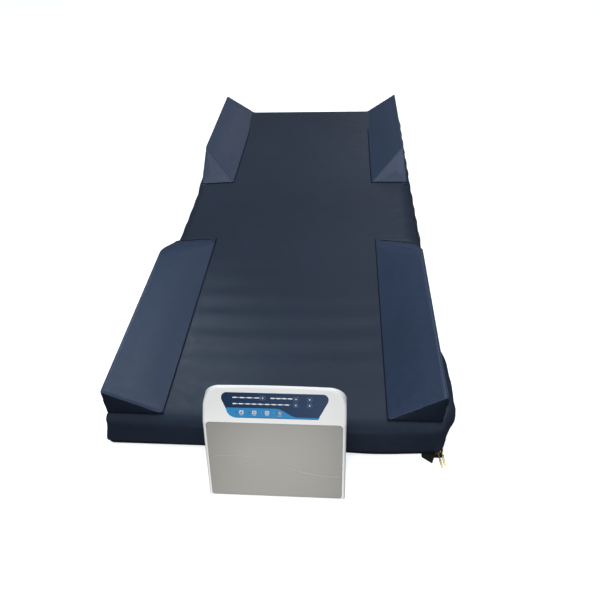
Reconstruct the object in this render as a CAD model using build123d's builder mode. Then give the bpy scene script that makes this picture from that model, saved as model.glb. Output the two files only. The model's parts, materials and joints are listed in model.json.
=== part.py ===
"""Alternating-air pressure relief mattress with raised side bolsters, and its control pump.

Frame: origin at the centre of the mattress underside, +X to the right seen from the foot
end, +Y towards the head end, +Z up.  The mattress and the pump stand on the plane z = 0.
All sizes are in millimetres.
"""
import os
from math import cos, hypot, radians, sin

from build123d import *

os.makedirs("parts", exist_ok=True)

# ---------------------------------------------------------------- driving dimensions
# Mattress
WIDTH = 914
LENGTH = 2032
HEIGHT = 120
COVER = 1.2              # coated nylon cover
EDGE_R = 14              # rounded top edge of the cover
HEM_Z = 6                # lower edge of the cover's skirt
FOLD_Y = 100             # line where the backrest lifts
FOLD_GAP = 1             # space between the two halves at that line
BASE_INSET = 8           # the base tray stands in from the skirt
BASE_SHEET = 1.5
ZIP_TAPE = 1.5
ZIP_TAPE_TOP = 18
COIL_DEPTH = 2.5
COIL_Z = (6, 12)

# Air cells
CELL_PITCH = 100
CELL_GAP = 2
CELL_LENGTH = 880
CELL_Z = (2, 118)
CELL_WALL = 1.5
CELL_R = 34
PILLOW_FROM_Y = 700      # cells beyond this line stay inflated

# Side bolsters
SEAM_X = 300             # inner seam of every bolster
BOLSTER_OUTER_X = 456
FOOT_NEAR_Y, FOOT_RIDGE_Y, FOOT_HIP_Y = -992, -360, -174
FOOT_RIDGE_X, FOOT_RIDGE_Z = 449, 198
HEAD_FAR_Y, HEAD_RIDGE_Y, HEAD_HIP_Y = 1012, 412, 255
HEAD_RIDGE_X, HEAD_RIDGE_Z = 437, 205

# Pump
PUMP_X = 17              # middle of the pump
PUMP_W = 348
PUMP_BACK_Y = -1030
PUMP_FOOT_H = 6
FRONT_Y = -1160          # lowest front edge
CREASE_Y, CREASE_Z = -1090, 226
TOP_Y, TOP_Z = -1036, 294
SHELL = 2.6
FACE_R = 7               # rounding round the front
PARTING_Y = -1041        # joint of the front and rear housings

HALF_W = WIDTH / 2
HALF_L = LENGTH / 2
SECTIONS = {"foot": (-HALF_L, FOLD_Y - FOLD_GAP / 2), "head": (FOLD_Y + FOLD_GAP / 2, HALF_L)}
EPS = 1                  # overshoot of a cutting body


def save(builder, name):
    """Label a finished sub-part and write its STEP file."""
    builder.part.label = name
    export_step(builder.part, f"parts/{name}.step")


def outer_end(section):
    """-1 where the section's closed end is the foot end, +1 where it is the head end."""
    return -1 if section == "foot" else 1


def plan(section, inset):
    """Low x, low y, high x and high y of a section, set in from its three closed sides."""
    low, high = SECTIONS[section]
    if section == "foot":
        low += inset
    else:
        high -= inset
    return -HALF_W + inset, low, HALF_W - inset, high


def block(section, inset, z_low, z_high):
    """Plain block over one section of the mattress."""
    x0, y0, x1, y1 = plan(section, inset)
    with BuildPart() as made:
        with BuildSketch(Plane.XY.offset(z_low)):
            with Locations(((x0 + x1) / 2, (y0 + y1) / 2)):
                Rectangle(x1 - x0, y1 - y0)
        extrude(amount=z_high - z_low)
    return made


def box_between(low, high):
    """Builder holding one box between two corners."""
    with BuildPart() as made:
        with BuildSketch(Plane.XY.offset(low[2])):
            with Locations(((low[0] + high[0]) / 2, (low[1] + high[1]) / 2)):
                Rectangle(high[0] - low[0], high[1] - low[1])
        extrude(amount=high[2] - low[2])
    return made


# ---------------------------------------------------------------- mattress coupling and valve places
COUPLING_X, COUPLING_Z = 110, 50
COUPLING_W, COUPLING_H = 56, 40
COUPLING_Y = (-1018, -1001)
PORT_R, PORT_PITCH, PORT_DEPTH = 5, 26, 12

CPR_Y, CPR_Z = 700, 60
CPR_R = 21               # flange of the quick-release valve
CPR_BORE_R = 15
CPR_X = (-459, -444)     # the valve body runs through the skirt


# ---------------------------------------------------------------- mattress covers
for section in SECTIONS:
    end = outer_end(section)

    # Top cover: rounded top edge, open below and at the fold
    hollow = block(section, COVER, HEM_Z - EPS, HEIGHT - COVER)
    with BuildPart() as hollow_round:
        add(hollow.part)
        top = hollow_round.faces().sort_by(Axis.Z)[-1]
        fold_edge = top.edges().filter_by(Axis.X).sort_by(Axis.Y)[-1 if end < 0 else 0]
        fillet([e for e in top.edges() if e != fold_edge], radius=EDGE_R - COVER)
    with BuildPart() as top_cover:
        add(block(section, 0, HEM_Z, HEIGHT).part)
        top = top_cover.faces().sort_by(Axis.Z)[-1]
        fold_edge = top.edges().filter_by(Axis.X).sort_by(Axis.Y)[-1 if end < 0 else 0]
        fillet([e for e in top.edges() if e != fold_edge], radius=EDGE_R)
        add(hollow_round.part, mode=Mode.SUBTRACT)
        if section == "foot":
            with BuildSketch(Plane.XZ.offset(HALF_L + EPS)):
                with Locations((COUPLING_X, COUPLING_Z)):
                    Rectangle(COUPLING_W, COUPLING_H)
            extrude(amount=-(COVER + 2 * EPS), mode=Mode.SUBTRACT)
        else:
            with BuildSketch(Plane.YZ.offset(-HALF_W - EPS)):
                with Locations((CPR_Y, CPR_Z)):
                    Circle(CPR_R - 4)
            extrude(amount=COVER + 2 * EPS, mode=Mode.SUBTRACT)
    save(top_cover, f"top_cover_{section}")

    # Base cover: a shallow tray, open at the fold
    with BuildPart() as base_cover:
        add(block(section, BASE_INSET, 0, ZIP_TAPE_TOP - EPS).part)
        add(block(section, BASE_INSET + BASE_SHEET, BASE_SHEET, ZIP_TAPE_TOP).part, mode=Mode.SUBTRACT)
    save(base_cover, f"base_cover_{section}")

    # Zip: a tape sewn round the tray, with the coil standing on it
    with BuildPart() as zip_track:
        add(block(section, BASE_INSET - ZIP_TAPE, BASE_SHEET, ZIP_TAPE_TOP).part)
        add(block(section, BASE_INSET - ZIP_TAPE - COIL_DEPTH, *COIL_Z).part)
        add(block(section, BASE_INSET, 0, ZIP_TAPE_TOP + EPS).part, mode=Mode.SUBTRACT)
    save(zip_track, f"zip_tape_{section}")


# ---------------------------------------------------------------- air cells
def air_cells(first, step, last_y):
    """Hollow transverse cells, one every `step` pitches, up to the line last_y."""
    with BuildPart() as cells:
        middle = (CELL_Z[0] + CELL_Z[1]) / 2
        deep = CELL_PITCH - CELL_GAP
        tall = CELL_Z[1] - CELL_Z[0]
        y = first + CELL_PITCH / 2
        while y < last_y:
            with BuildSketch(Plane.YZ.offset(-CELL_LENGTH / 2)):
                with Locations((y, middle)):
                    RectangleRounded(deep, tall, CELL_R)
            extrude(amount=CELL_LENGTH)
            with BuildSketch(Plane.YZ.offset(-CELL_LENGTH / 2 + CELL_WALL)):
                with Locations((y, middle)):
                    RectangleRounded(deep - 2 * CELL_WALL, tall - 2 * CELL_WALL, CELL_R - CELL_WALL)
            extrude(amount=CELL_LENGTH - 2 * CELL_WALL, mode=Mode.SUBTRACT)
            y += step * CELL_PITCH
    return cells


CELLS_FROM_Y = -1000
save(air_cells(CELLS_FROM_Y, 2, FOLD_Y), "air_cells_a_foot")
save(air_cells(CELLS_FROM_Y + CELL_PITCH, 2, FOLD_Y), "air_cells_b_foot")
save(air_cells(FOLD_Y + CELL_PITCH, 2, PILLOW_FROM_Y), "air_cells_a_head")
save(air_cells(FOLD_Y, 2, PILLOW_FROM_Y), "air_cells_b_head")
save(air_cells(PILLOW_FROM_Y, 1, -CELLS_FROM_Y), "pillow_cells")

# Air lines along the left side, one for each group of cells
HOSE_R, HOSE_BORE_R = 4, 2.5
HOSE_X = -447.5
HOSE_ZS = (46, 66)
for section, (low, high) in SECTIONS.items():
    start = low + 20 if section == "foot" else low
    stop = high if section == "foot" else high - 20
    with BuildPart() as hoses:
        for z in HOSE_ZS:
            if section == "head":
                stop = CPR_Y - CPR_R - 6
            with BuildSketch(Plane.XZ.offset(-start)):
                with Locations((HOSE_X, z)):
                    Circle(HOSE_R)
                    Circle(HOSE_BORE_R, mode=Mode.SUBTRACT)
            extrude(amount=-(stop - start))
    save(hoses, f"manifold_hoses_{section}")


# ---------------------------------------------------------------- side bolsters
def bolster_wedge(side, flat_y, ridge_y, hip_y, ridge_x, ridge_z, inset=0):
    """Foam wedge on the mattress top: a ridge along the outer edge that ends in a sloping hip."""
    seam = (SEAM_X + 3 * inset, HEIGHT + inset / 2)
    outer = (BOLSTER_OUTER_X - inset, HEIGHT + inset / 2)
    ridge = (ridge_x - inset / 2, ridge_z - 2 * inset)
    towards = 1 if hip_y > flat_y else -1
    start = flat_y + towards * inset
    stop = hip_y - 3 * towards * inset
    with BuildPart() as wedge:
        with BuildSketch(Plane.XZ.offset(-start)):
            with BuildLine():
                Polyline(*[(side * x, z) for x, z in (seam, outer, ridge)], close=True)
            make_face()
        extrude(amount=-(stop - start))
        with BuildSketch(Plane.YZ.offset(0)):
            with BuildLine():
                Polyline(
                    (stop, HEIGHT),
                    (ridge_y - 3 * towards * inset, ridge_z),
                    (ridge_y - 3 * towards * inset, ridge_z + EPS),
                    (stop + towards * EPS, ridge_z + EPS),
                    (stop + towards * EPS, HEIGHT),
                    close=True,
                )
            make_face()
        extrude(amount=HALF_W, both=True, mode=Mode.SUBTRACT)
    return wedge


FOOT_WEDGE = (FOOT_NEAR_Y, FOOT_RIDGE_Y, FOOT_HIP_Y, FOOT_RIDGE_X, FOOT_RIDGE_Z)
HEAD_WEDGE = (HEAD_FAR_Y, HEAD_RIDGE_Y, HEAD_HIP_Y, HEAD_RIDGE_X, HEAD_RIDGE_Z)
for section, sizes in (("foot", FOOT_WEDGE), ("head", HEAD_WEDGE)):
    for side_name, side in (("left", -1), ("right", 1)):
        with BuildPart() as bolster_cover:
            add(bolster_wedge(side, *sizes).part)
            add(bolster_wedge(side, *sizes, inset=COVER).part, mode=Mode.SUBTRACT)
        save(bolster_cover, f"{section}_bolster_cover_{side_name}")
    with BuildPart() as foams:
        for side in (-1, 1):
            add(bolster_wedge(side, *sizes, inset=COVER + 0.2).part)
    save(foams, f"{section}_bolster_foams")


# ---------------------------------------------------------------- hose coupling and quick-release valve
with BuildPart() as air_coupling:
    with BuildSketch(Plane.XZ.offset(-COUPLING_Y[0])):
        with Locations((COUPLING_X, COUPLING_Z)):
            RectangleRounded(COUPLING_W - 1, COUPLING_H - 1, 5)
    extrude(amount=-(COUPLING_Y[1] - COUPLING_Y[0]))
    with Locations(*[
        Plane(
            origin=(COUPLING_X + side * PORT_PITCH / 2, COUPLING_Y[0], COUPLING_Z),
            x_dir=(1, 0, 0),
            z_dir=(0, -1, 0),
        ).location
        for side in (-1, 1)
    ]):
        Hole(radius=PORT_R, depth=PORT_DEPTH)
save(air_coupling, "air_coupling")

with BuildPart() as cpr_body:
    with BuildSketch(Plane.YZ.offset(CPR_X[0])):
        with Locations((CPR_Y, CPR_Z)):
            Circle(CPR_R)
    extrude(amount=-CPR_X[0] - HALF_W)
    with BuildSketch(Plane.YZ.offset(CPR_X[0])):
        with Locations((CPR_Y, CPR_Z)):
            Circle(CPR_R - 4.2)
    extrude(amount=CPR_X[1] - CPR_X[0])
    with BuildSketch(Plane.YZ.offset(CPR_X[0] - EPS)):
        with Locations((CPR_Y, CPR_Z)):
            Circle(CPR_BORE_R)
    extrude(amount=12 + EPS, mode=Mode.SUBTRACT)
save(cpr_body, "cpr_valve_body")

CPR_CLEARANCE = 0.08
with BuildPart() as cpr_plug:
    with BuildSketch(Plane.YZ.offset(CPR_X[0] + 11.5)):
        with Locations((CPR_Y, CPR_Z)):
            Circle(CPR_BORE_R - CPR_CLEARANCE)
    extrude(amount=-12)
    with BuildSketch(Plane.YZ.offset(CPR_X[0] - 0.5)):
        with Locations((CPR_Y, CPR_Z)):
            Circle(CPR_R - 3)
    extrude(amount=-2.5)
save(cpr_plug, "cpr_plug")

# Pull strap of the plug: a flat webbing tail that hangs down the side
CPR_STRAP_W, CPR_STRAP_T = 24, 1.2
with BuildPart() as cpr_strap:
    with BuildSketch(Plane.YZ.offset(CPR_X[0] - 3)):
        with Locations((CPR_Y, CPR_Z - 16)):
            RectangleRounded(CPR_STRAP_W, 66, 4)
    extrude(amount=-CPR_STRAP_T)
save(cpr_strap, "cpr_strap")

# Black webbing end sewn to the base tray at the right foot corner
STRAP_T = 0.8
with BuildPart() as corner_strap:
    with BuildSketch(Plane.XY):
        with BuildLine():
            Polyline((398, -HALF_L + BASE_INSET), (398, -1021), (424, -1040), (431, -1022),
                     (449, -1022), (459, -1017), (453, -1004), (449, -1004),
                     (449, -HALF_L + BASE_INSET), close=True)
        make_face()
    extrude(amount=STRAP_T)
save(corner_strap, "corner_strap")


# ---------------------------------------------------------------- zip sliders and pulls
SLIDER_LONG = 12
SLIDER_Z = (3.4, 14.6)
SLIDER_CLEAR = 0.2
POST_R = 0.9
POST_LOW_Z = 1.0
PULL_Z = 1.2
PULL_T = 1.4
PULL_BORE_R = 0.95
PULL_WIDE = 5.6
TAPE_FACE = HALF_W - BASE_INSET + ZIP_TAPE          # outer face of the tape, on the sides
COIL_FACE = TAPE_FACE + COIL_DEPTH
SLIDER_FACE = HALF_W - COVER - 0.3
END_SHIFT = HALF_L - HALF_W                         # the same faces lie this much further out in Y
SLIDER_FOOT_X = 440
SLIDER_SIDE_Y = -1001
POST_FOOT = (444, -(453.4 + END_SHIFT))
POST_SIDE = (453.4, -1005)


def pull_tab(post, length, turn):
    """Flat pull tab on a post; turn is its angle from -Y towards +X."""
    eye = Plane(origin=(post[0], post[1], PULL_Z), x_dir=(cos(radians(turn)), sin(radians(turn)), 0),
                z_dir=(0, 0, 1))
    with BuildPart() as tab:
        with BuildSketch(eye):
            Circle(2.3)
            with Locations((0, -length / 2)):
                Rectangle(3.2, length - 2)
            with Locations((0, -length * 0.66)):
                RectangleRounded(PULL_WIDE, length * 0.62, 2)
            Circle(PULL_BORE_R, mode=Mode.SUBTRACT)
        extrude(amount=PULL_T)
    return tab


with BuildPart() as slider_foot:
    with BuildSketch(Plane.YZ.offset(SLIDER_FOOT_X - SLIDER_LONG / 2)):
        with Locations((-(TAPE_FACE + SLIDER_CLEAR + SLIDER_FACE) / 2 - END_SHIFT, sum(SLIDER_Z) / 2)):
            Rectangle(SLIDER_FACE - TAPE_FACE - SLIDER_CLEAR, SLIDER_Z[1] - SLIDER_Z[0])
        with Locations((-(TAPE_FACE + COIL_FACE) / 2 - END_SHIFT, sum(COIL_Z) / 2)):
            Rectangle(COIL_DEPTH + 2 * SLIDER_CLEAR, COIL_Z[1] - COIL_Z[0] + 2 * SLIDER_CLEAR,
                      mode=Mode.SUBTRACT)
    extrude(amount=SLIDER_LONG)
    with BuildSketch(Plane.XY.offset(POST_LOW_Z)):
        with Locations(POST_FOOT):
            Circle(POST_R)
    extrude(amount=SLIDER_Z[0] - POST_LOW_Z + 0.2)
save(slider_foot, "zip_slider_foot")
save(pull_tab(POST_FOOT, 41, 8), "zip_pull_foot")

with BuildPart() as slider_side:
    with BuildSketch(Plane.XZ.offset(-(SLIDER_SIDE_Y - SLIDER_LONG / 2))):
        with Locations(((TAPE_FACE + SLIDER_CLEAR + SLIDER_FACE) / 2, sum(SLIDER_Z) / 2)):
            Rectangle(SLIDER_FACE - TAPE_FACE - SLIDER_CLEAR, SLIDER_Z[1] - SLIDER_Z[0])
        with Locations(((TAPE_FACE + COIL_FACE) / 2, sum(COIL_Z) / 2)):
            Rectangle(COIL_DEPTH + 2 * SLIDER_CLEAR, COIL_Z[1] - COIL_Z[0] + 2 * SLIDER_CLEAR,
                      mode=Mode.SUBTRACT)
    extrude(amount=-SLIDER_LONG)
    with BuildSketch(Plane.XY.offset(POST_LOW_Z)):
        with Locations(POST_SIDE):
            Circle(POST_R)
    extrude(amount=SLIDER_Z[0] - POST_LOW_Z + 0.2)
save(slider_side, "zip_slider_side")
save(pull_tab(POST_SIDE, 42, 6), "zip_pull_side")


# ---------------------------------------------------------------- pump housing
def raised_plane(y0, z0, y1, z1):
    """Plane on a sloping face of the pump: local x along +X, local y up the slope."""
    run = hypot(y1 - y0, z1 - z0)
    return Plane(origin=(PUMP_X, y0, z0), x_dir=(1, 0, 0), z_dir=(0, -(z1 - z0) / run, (y1 - y0) / run))


FACE = raised_plane(FRONT_Y, PUMP_FOOT_H, CREASE_Y, CREASE_Z)
PANEL = raised_plane(CREASE_Y, CREASE_Z, TOP_Y, TOP_Z)
FACE_RUN = hypot(CREASE_Y - FRONT_Y, CREASE_Z - PUMP_FOOT_H)
TOP_R, BOTTOM_R, TOP_ARCH = 42, 16, 4
COVER_SIDE = 8            # the grey front cover stands in from the sides of the pump
COVER_LOW = 5
COVER_R = 10
JOINT_GAP = 0.3


def housing_form(inset):
    """Outer form of the pump, or the form of its hollow when set in by the wall."""
    with BuildPart() as form:
        with BuildSketch(Plane.YZ.offset(PUMP_X - PUMP_W / 2 + inset)):
            with BuildLine():
                Polyline((PUMP_BACK_Y, PUMP_FOOT_H), (FRONT_Y, PUMP_FOOT_H), (CREASE_Y, CREASE_Z),
                         (TOP_Y, TOP_Z), (PUMP_BACK_Y, TOP_Z), close=True)
            make_face()
            if inset:
                offset(amount=-inset, kind=Kind.INTERSECTION)
        extrude(amount=PUMP_W - 2 * inset)
        half = PUMP_W / 2 - inset
        low, high = PUMP_FOOT_H + inset, TOP_Z - inset
        with BuildSketch(Plane.XZ.offset(-PUMP_BACK_Y - EPS)):
            with BuildLine():
                Polyline((PUMP_X - half, high - TOP_ARCH), (PUMP_X - half, low),
                         (PUMP_X + half, low), (PUMP_X + half, high - TOP_ARCH))
                ThreePointArc((PUMP_X - half, high - TOP_ARCH), (PUMP_X, high), (PUMP_X + half, high - TOP_ARCH))
            outline = make_face()
            fillet(outline.vertices().group_by(Axis.Y)[-1], radius=TOP_R - inset)
            fillet(outline.vertices().group_by(Axis.Y)[0], radius=BOTTOM_R - inset)
        extrude(amount=PUMP_BACK_Y - FRONT_Y + 2 * EPS, mode=Mode.INTERSECT)
        sloping = [f for f in form.faces() if f.normal_at().Y < -0.5]
        rim = [e for f in sloping for e in f.edges()]
        crease = [e for e in rim if abs(e.center().Z - CREASE_Z) < 2 * SHELL and e.length > PUMP_W / 2]
        fillet([e for e in rim if e not in crease], radius=FACE_R - inset)
    return form


# Rear side wall features
INLET_Y = -1085
INLET_FLANGE = (30, 56)
INLET_BODY = (27, 52)
INLET_Z = 68
SOCKET_Z, ROCKER_Z = 56, 82
FILTER_Y, FILTER_Z = -1088, 90
FILTER_SIZE = (38, 54)
OUTLET_XS = (-60, -30)
OUTLET_Z = 28
OUTLET_R, OUTLET_BORE_R = 4, 2.5
LEFT_X = PUMP_X - PUMP_W / 2
RIGHT_X = PUMP_X + PUMP_W / 2

# Keys and lamps stand in rows on the panel, which is measured from its middle and up from the crease
LOW_ROW, MID_ROW, TOP_ROW = 25.5, 46, 61
OVERLAY_CORNERS = ((-136, 73), (140, 73), (106, 12), (-105, 12))
OVERLAY_R, OVERLAY_LOW_LEFT_R = 13, 24
KEYS = {
    "key_lock": (-78, LOW_ROW),
    "key_static": (-47, LOW_ROW),
    "key_mode": (-16, LOW_ROW),
    "key_power": (15, LOW_ROW),
    "key_pressure": (-27, TOP_ROW),
    "key_cycle_time": (53, TOP_ROW - 1),
    "key_comfort": (53, MID_ROW - 0.5),
    "key_alarm_silence": (86, TOP_ROW - 1),
    "key_seat_inflate": (86, MID_ROW - 0.5),
}
KEY_W, KEY_H, KEY_R = 10.5, 8.5, 1.5
KEY_CLEAR = 0.3
KEY_PROUD = 0.8
KEY_DEEP = 3.4
FILM = 0.4

with BuildPart() as shell:
    add(housing_form(0).part)
    add(housing_form(SHELL).part, mode=Mode.SUBTRACT)

with BuildPart() as cover_region:
    with BuildSketch(FACE.offset(-3 * SHELL)):
        with Locations((0, (FACE_RUN + COVER_LOW) / 2)):
            RectangleRounded(PUMP_W - 2 * COVER_SIDE, FACE_RUN - COVER_LOW - 1, COVER_R)
    extrude(amount=4 * SHELL)
with BuildPart() as cover_hole:
    with BuildSketch(FACE.offset(-3 * SHELL)):
        with Locations((0, (FACE_RUN + COVER_LOW) / 2)):
            RectangleRounded(PUMP_W - 2 * COVER_SIDE + 2 * JOINT_GAP,
                             FACE_RUN - COVER_LOW - 1 + 2 * JOINT_GAP, COVER_R + JOINT_GAP)
    extrude(amount=4 * SHELL)

with BuildPart() as front_cover:
    add(shell.part)
    add(cover_region.part, mode=Mode.INTERSECT)
save(front_cover, "pump_front_cover")

with BuildPart() as front_housing:
    add(shell.part)
    split(bisect_by=Plane.XZ.offset(-PARTING_Y), keep=Keep.TOP)
    add(cover_hole.part, mode=Mode.SUBTRACT)
    with BuildSketch(PANEL.offset(-2 * SHELL)):
        with Locations(*KEYS.values()):
            RectangleRounded(KEY_W + 2 * KEY_CLEAR, KEY_H + 2 * KEY_CLEAR, KEY_R + KEY_CLEAR)
    extrude(amount=3 * SHELL, mode=Mode.SUBTRACT)
    with BuildSketch(Plane.YZ.offset(LEFT_X - EPS)):
        with Locations((INLET_Y, INLET_Z)):
            Rectangle(*INLET_BODY)
    extrude(amount=SHELL + 2 * EPS, mode=Mode.SUBTRACT)
    with BuildSketch(Plane.YZ.offset(RIGHT_X + EPS)):
        with Locations((FILTER_Y, FILTER_Z)):
            RectangleRounded(FILTER_SIZE[0] + 0.6, FILTER_SIZE[1] + 0.6, 3.3)
    extrude(amount=-SHELL - 2 * EPS, mode=Mode.SUBTRACT)
save(front_housing, "pump_front_housing")

with BuildPart() as rear_housing:
    add(shell.part)
    split(bisect_by=Plane.XZ.offset(-PARTING_Y), keep=Keep.BOTTOM)
    with BuildSketch(Plane.XZ.offset(-PUMP_BACK_Y - EPS)):
        with Locations(*[(x, OUTLET_Z) for x in OUTLET_XS]):
            Circle(OUTLET_R + 0.1)
    extrude(amount=SHELL + 2 * EPS, mode=Mode.SUBTRACT)
save(rear_housing, "pump_rear_housing")

# ---------------------------------------------------------------- control panel
with BuildPart() as overlay:
    with BuildSketch(PANEL) as film:
        with BuildLine():
            Polyline(*OVERLAY_CORNERS, close=True)
        make_face()
        fillet(film.vertices().group_by(Axis.Y)[-1], radius=OVERLAY_R)
        low_left, low_right = film.vertices().group_by(Axis.Y)[0].sort_by(Axis.X)
        fillet(low_left, radius=OVERLAY_LOW_LEFT_R)
        fillet(low_right, radius=OVERLAY_R)
        with Locations(*KEYS.values()):
            RectangleRounded(KEY_W + 2 * KEY_CLEAR, KEY_H + 2 * KEY_CLEAR, KEY_R + KEY_CLEAR,
                             mode=Mode.SUBTRACT)
    extrude(amount=FILM)
save(overlay, "panel_overlay")

LAMP_T = 0.3
ROW_ONE = [-95 + 18 * i for i in range(4)]
ROW_ONE_RIGHT = [-3 + 14 * i for i in range(4)]
ROW_TWO = [-95 + 15.8 * i for i in range(9)]
SINGLE_LAMPS = [(u, LOW_ROW) for u in (-90, -59, -29, 2)] + [(74, TOP_ROW - 1), (74, MID_ROW - 0.5)]
with BuildPart() as lamps:
    with BuildSketch(PANEL.offset(FILM)):
        with Locations(*[(u, TOP_ROW) for u in ROW_ONE + ROW_ONE_RIGHT]):
            RectangleRounded(10, 2.6, 1)
        with Locations(*[(u, MID_ROW) for u in ROW_TWO]):
            RectangleRounded(9, 2.6, 1)
        with Locations(*SINGLE_LAMPS):
            Circle(1.5)
    extrude(amount=LAMP_T)
save(lamps, "panel_lamps")

for key_name, place in KEYS.items():
    with BuildPart() as key:
        with BuildSketch(PANEL.offset(KEY_PROUD)):
            with Locations(place):
                RectangleRounded(KEY_W, KEY_H, KEY_R)
        extrude(amount=-KEY_PROUD - KEY_DEEP)
        chamfer(key.faces().sort_by(Axis((0, 0, 0), PANEL.z_dir))[-1].edges(), length=0.3)
    save(key, key_name)

BOARD_BELOW = 11
with BuildPart() as display_board:
    with BuildSketch(PANEL.offset(-BOARD_BELOW)):
        with Locations((0, 37)):
            Rectangle(240, 56)
    extrude(amount=1.6)
save(display_board, "display_board")

# ---------------------------------------------------------------- inside the pump
FLOOR_Z = PUMP_FOOT_H + SHELL
COMPRESSOR_LOW, COMPRESSOR_HIGH = (30, -1120, 20), (160, -1050, 84)
compressor_box = box_between(COMPRESSOR_LOW, COMPRESSOR_HIGH)
with BuildPart() as compressor:
    add(compressor_box.part)
    fillet(compressor.edges().filter_by(Axis.Z), radius=10)
    with BuildSketch(Plane.YZ.offset(COMPRESSOR_LOW[0])):
        with Locations((-1090, OUTLET_Z + 4)):
            Circle(6)
    extrude(amount=-6)
save(compressor, "compressor")

with BuildPart() as mounts:
    with BuildSketch(Plane.XY.offset(FLOOR_Z)):
        with Locations((95, -1085)):
            with GridLocations(96, 44, 2, 2):
                Circle(6)
    extrude(amount=COMPRESSOR_LOW[2] - FLOOR_Z)
save(mounts, "compressor_mounts")

VALVE = (-45, -1090)
VALVE_R, ROTOR_R, SHAFT_R, RUN_CLEAR = 26, 18, 3, 0.05
VALVE_TOP = 40
ROTOR_Z = (14, 30)
with BuildPart() as valve_body:
    with BuildSketch(Plane.XY.offset(FLOOR_Z)):
        with Locations(VALVE):
            Circle(VALVE_R)
    extrude(amount=VALVE_TOP - FLOOR_Z)
    with BuildSketch(Plane.XY.offset(ROTOR_Z[0] - 0.2)):
        with Locations(VALVE):
            Circle(ROTOR_R + RUN_CLEAR)
    extrude(amount=VALVE_TOP, mode=Mode.SUBTRACT)
save(valve_body, "valve_body")

with BuildPart() as valve_rotor:
    with BuildSketch(Plane.XY.offset(ROTOR_Z[0])):
        with Locations(VALVE):
            Circle(ROTOR_R)
            with PolarLocations(11, 3):
                SlotOverall(9, 4, rotation=90, mode=Mode.SUBTRACT)
    extrude(amount=ROTOR_Z[1] - ROTOR_Z[0])
    with BuildSketch(Plane.XY.offset(ROTOR_Z[1])):
        with Locations(VALVE):
            Circle(SHAFT_R)
    extrude(amount=VALVE_TOP + 9 - ROTOR_Z[1])
save(valve_rotor, "valve_rotor")

with BuildPart() as valve_motor:
    with BuildSketch(Plane.XY.offset(VALVE_TOP)):
        with Locations(VALVE):
            Circle(VALVE_R)
    extrude(amount=4)
    with BuildSketch(Plane.XY.offset(VALVE_TOP + 4)):
        with Locations(VALVE):
            Circle(20)
    extrude(amount=22)
    with BuildSketch(Plane.XY.offset(VALVE_TOP)):
        with Locations(VALVE):
            Circle(SHAFT_R + RUN_CLEAR)
    extrude(amount=10, mode=Mode.SUBTRACT)
save(valve_motor, "valve_motor")

TUBE_REACH = (OUTLET_XS[1] - OUTLET_XS[0]) / 2 - OUTLET_R      # nearest point of a tube to the valve's middle
TUBE_START_Y = VALVE[1] + (VALVE_R**2 - TUBE_REACH**2) ** 0.5 + 0.1
TUBE_END_Y = -1037
with BuildPart() as tubes:
    with BuildSketch(Plane.XZ.offset(-TUBE_START_Y)):
        with Locations(*[(x, OUTLET_Z) for x in OUTLET_XS]):
            Circle(OUTLET_R)
            Circle(OUTLET_BORE_R, mode=Mode.SUBTRACT)
    extrude(amount=-(TUBE_END_Y - TUBE_START_Y))
    with BuildSketch(Plane.YZ.offset(VALVE[0] + VALVE_R + 0.3)):
        with Locations((-1090, OUTLET_Z + 4)):
            Circle(OUTLET_R)
            Circle(OUTLET_BORE_R, mode=Mode.SUBTRACT)
    extrude(amount=COMPRESSOR_LOW[0] - 6 - VALVE[0] - VALVE_R - 0.3)
save(tubes, "internal_tubes")

save(box_between((-135, -1046, 110), (-25, -1044.4, 200)), "power_board")

# ---------------------------------------------------------------- outlets, mains module, filter
OUTLET_FLANGE_R, OUTLET_LONG = 8, 8
with BuildPart() as outlets:
    for depth, radius, from_y in ((2, OUTLET_FLANGE_R, PUMP_BACK_Y), (OUTLET_LONG, OUTLET_R, PUMP_BACK_Y + 2),
                                  (6, OUTLET_R, PUMP_BACK_Y - 6)):
        with BuildSketch(Plane.XZ.offset(-from_y)):
            with Locations(*[(x, OUTLET_Z) for x in OUTLET_XS]):
                Circle(radius)
        extrude(amount=-depth)
    with BuildSketch(Plane.XZ.offset(-PUMP_BACK_Y + 10)):
        with Locations(*[(x, OUTLET_Z) for x in OUTLET_XS]):
            Circle(OUTLET_BORE_R)
    extrude(amount=-30, mode=Mode.SUBTRACT)
save(outlets, "air_outlets")

FLANGE_T = 1.5
MODULE_DEEP = 22
SOCKET = (23, 16)
SOCKET_DEEP = 18
ROCKER_SLOT = (13.2, 17.2)
ROCKER_SLOT_DEEP = 16
BLADE = (2, 4)
BLADE_LONG = 12
with BuildPart() as inlet:
    with BuildSketch(Plane.YZ.offset(LEFT_X - FLANGE_T)):
        with Locations((INLET_Y, INLET_Z)):
            RectangleRounded(*INLET_FLANGE, 2)
    extrude(amount=FLANGE_T)
    with BuildSketch(Plane.YZ.offset(LEFT_X)):
        with Locations((INLET_Y, INLET_Z)):
            Rectangle(INLET_BODY[0] - 0.2, INLET_BODY[1] - 0.2)
    extrude(amount=MODULE_DEEP)
    with BuildSketch(Plane.YZ.offset(LEFT_X - FLANGE_T)):
        with Locations((INLET_Y, SOCKET_Z)):
            RectangleRounded(*SOCKET, 3)
    extrude(amount=SOCKET_DEEP, mode=Mode.SUBTRACT)
    with BuildSketch(Plane.YZ.offset(LEFT_X - FLANGE_T)):
        with Locations((INLET_Y, ROCKER_Z)):
            Rectangle(*ROCKER_SLOT)
    extrude(amount=ROCKER_SLOT_DEEP, mode=Mode.SUBTRACT)
    with BuildSketch(Plane.YZ.offset(LEFT_X - FLANGE_T + SOCKET_DEEP)):
        with Locations((INLET_Y - 7, SOCKET_Z - 1.5), (INLET_Y, SOCKET_Z + 2), (INLET_Y + 7, SOCKET_Z - 1.5)):
            Rectangle(*BLADE)
    extrude(amount=-BLADE_LONG)
save(inlet, "mains_inlet")

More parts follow.
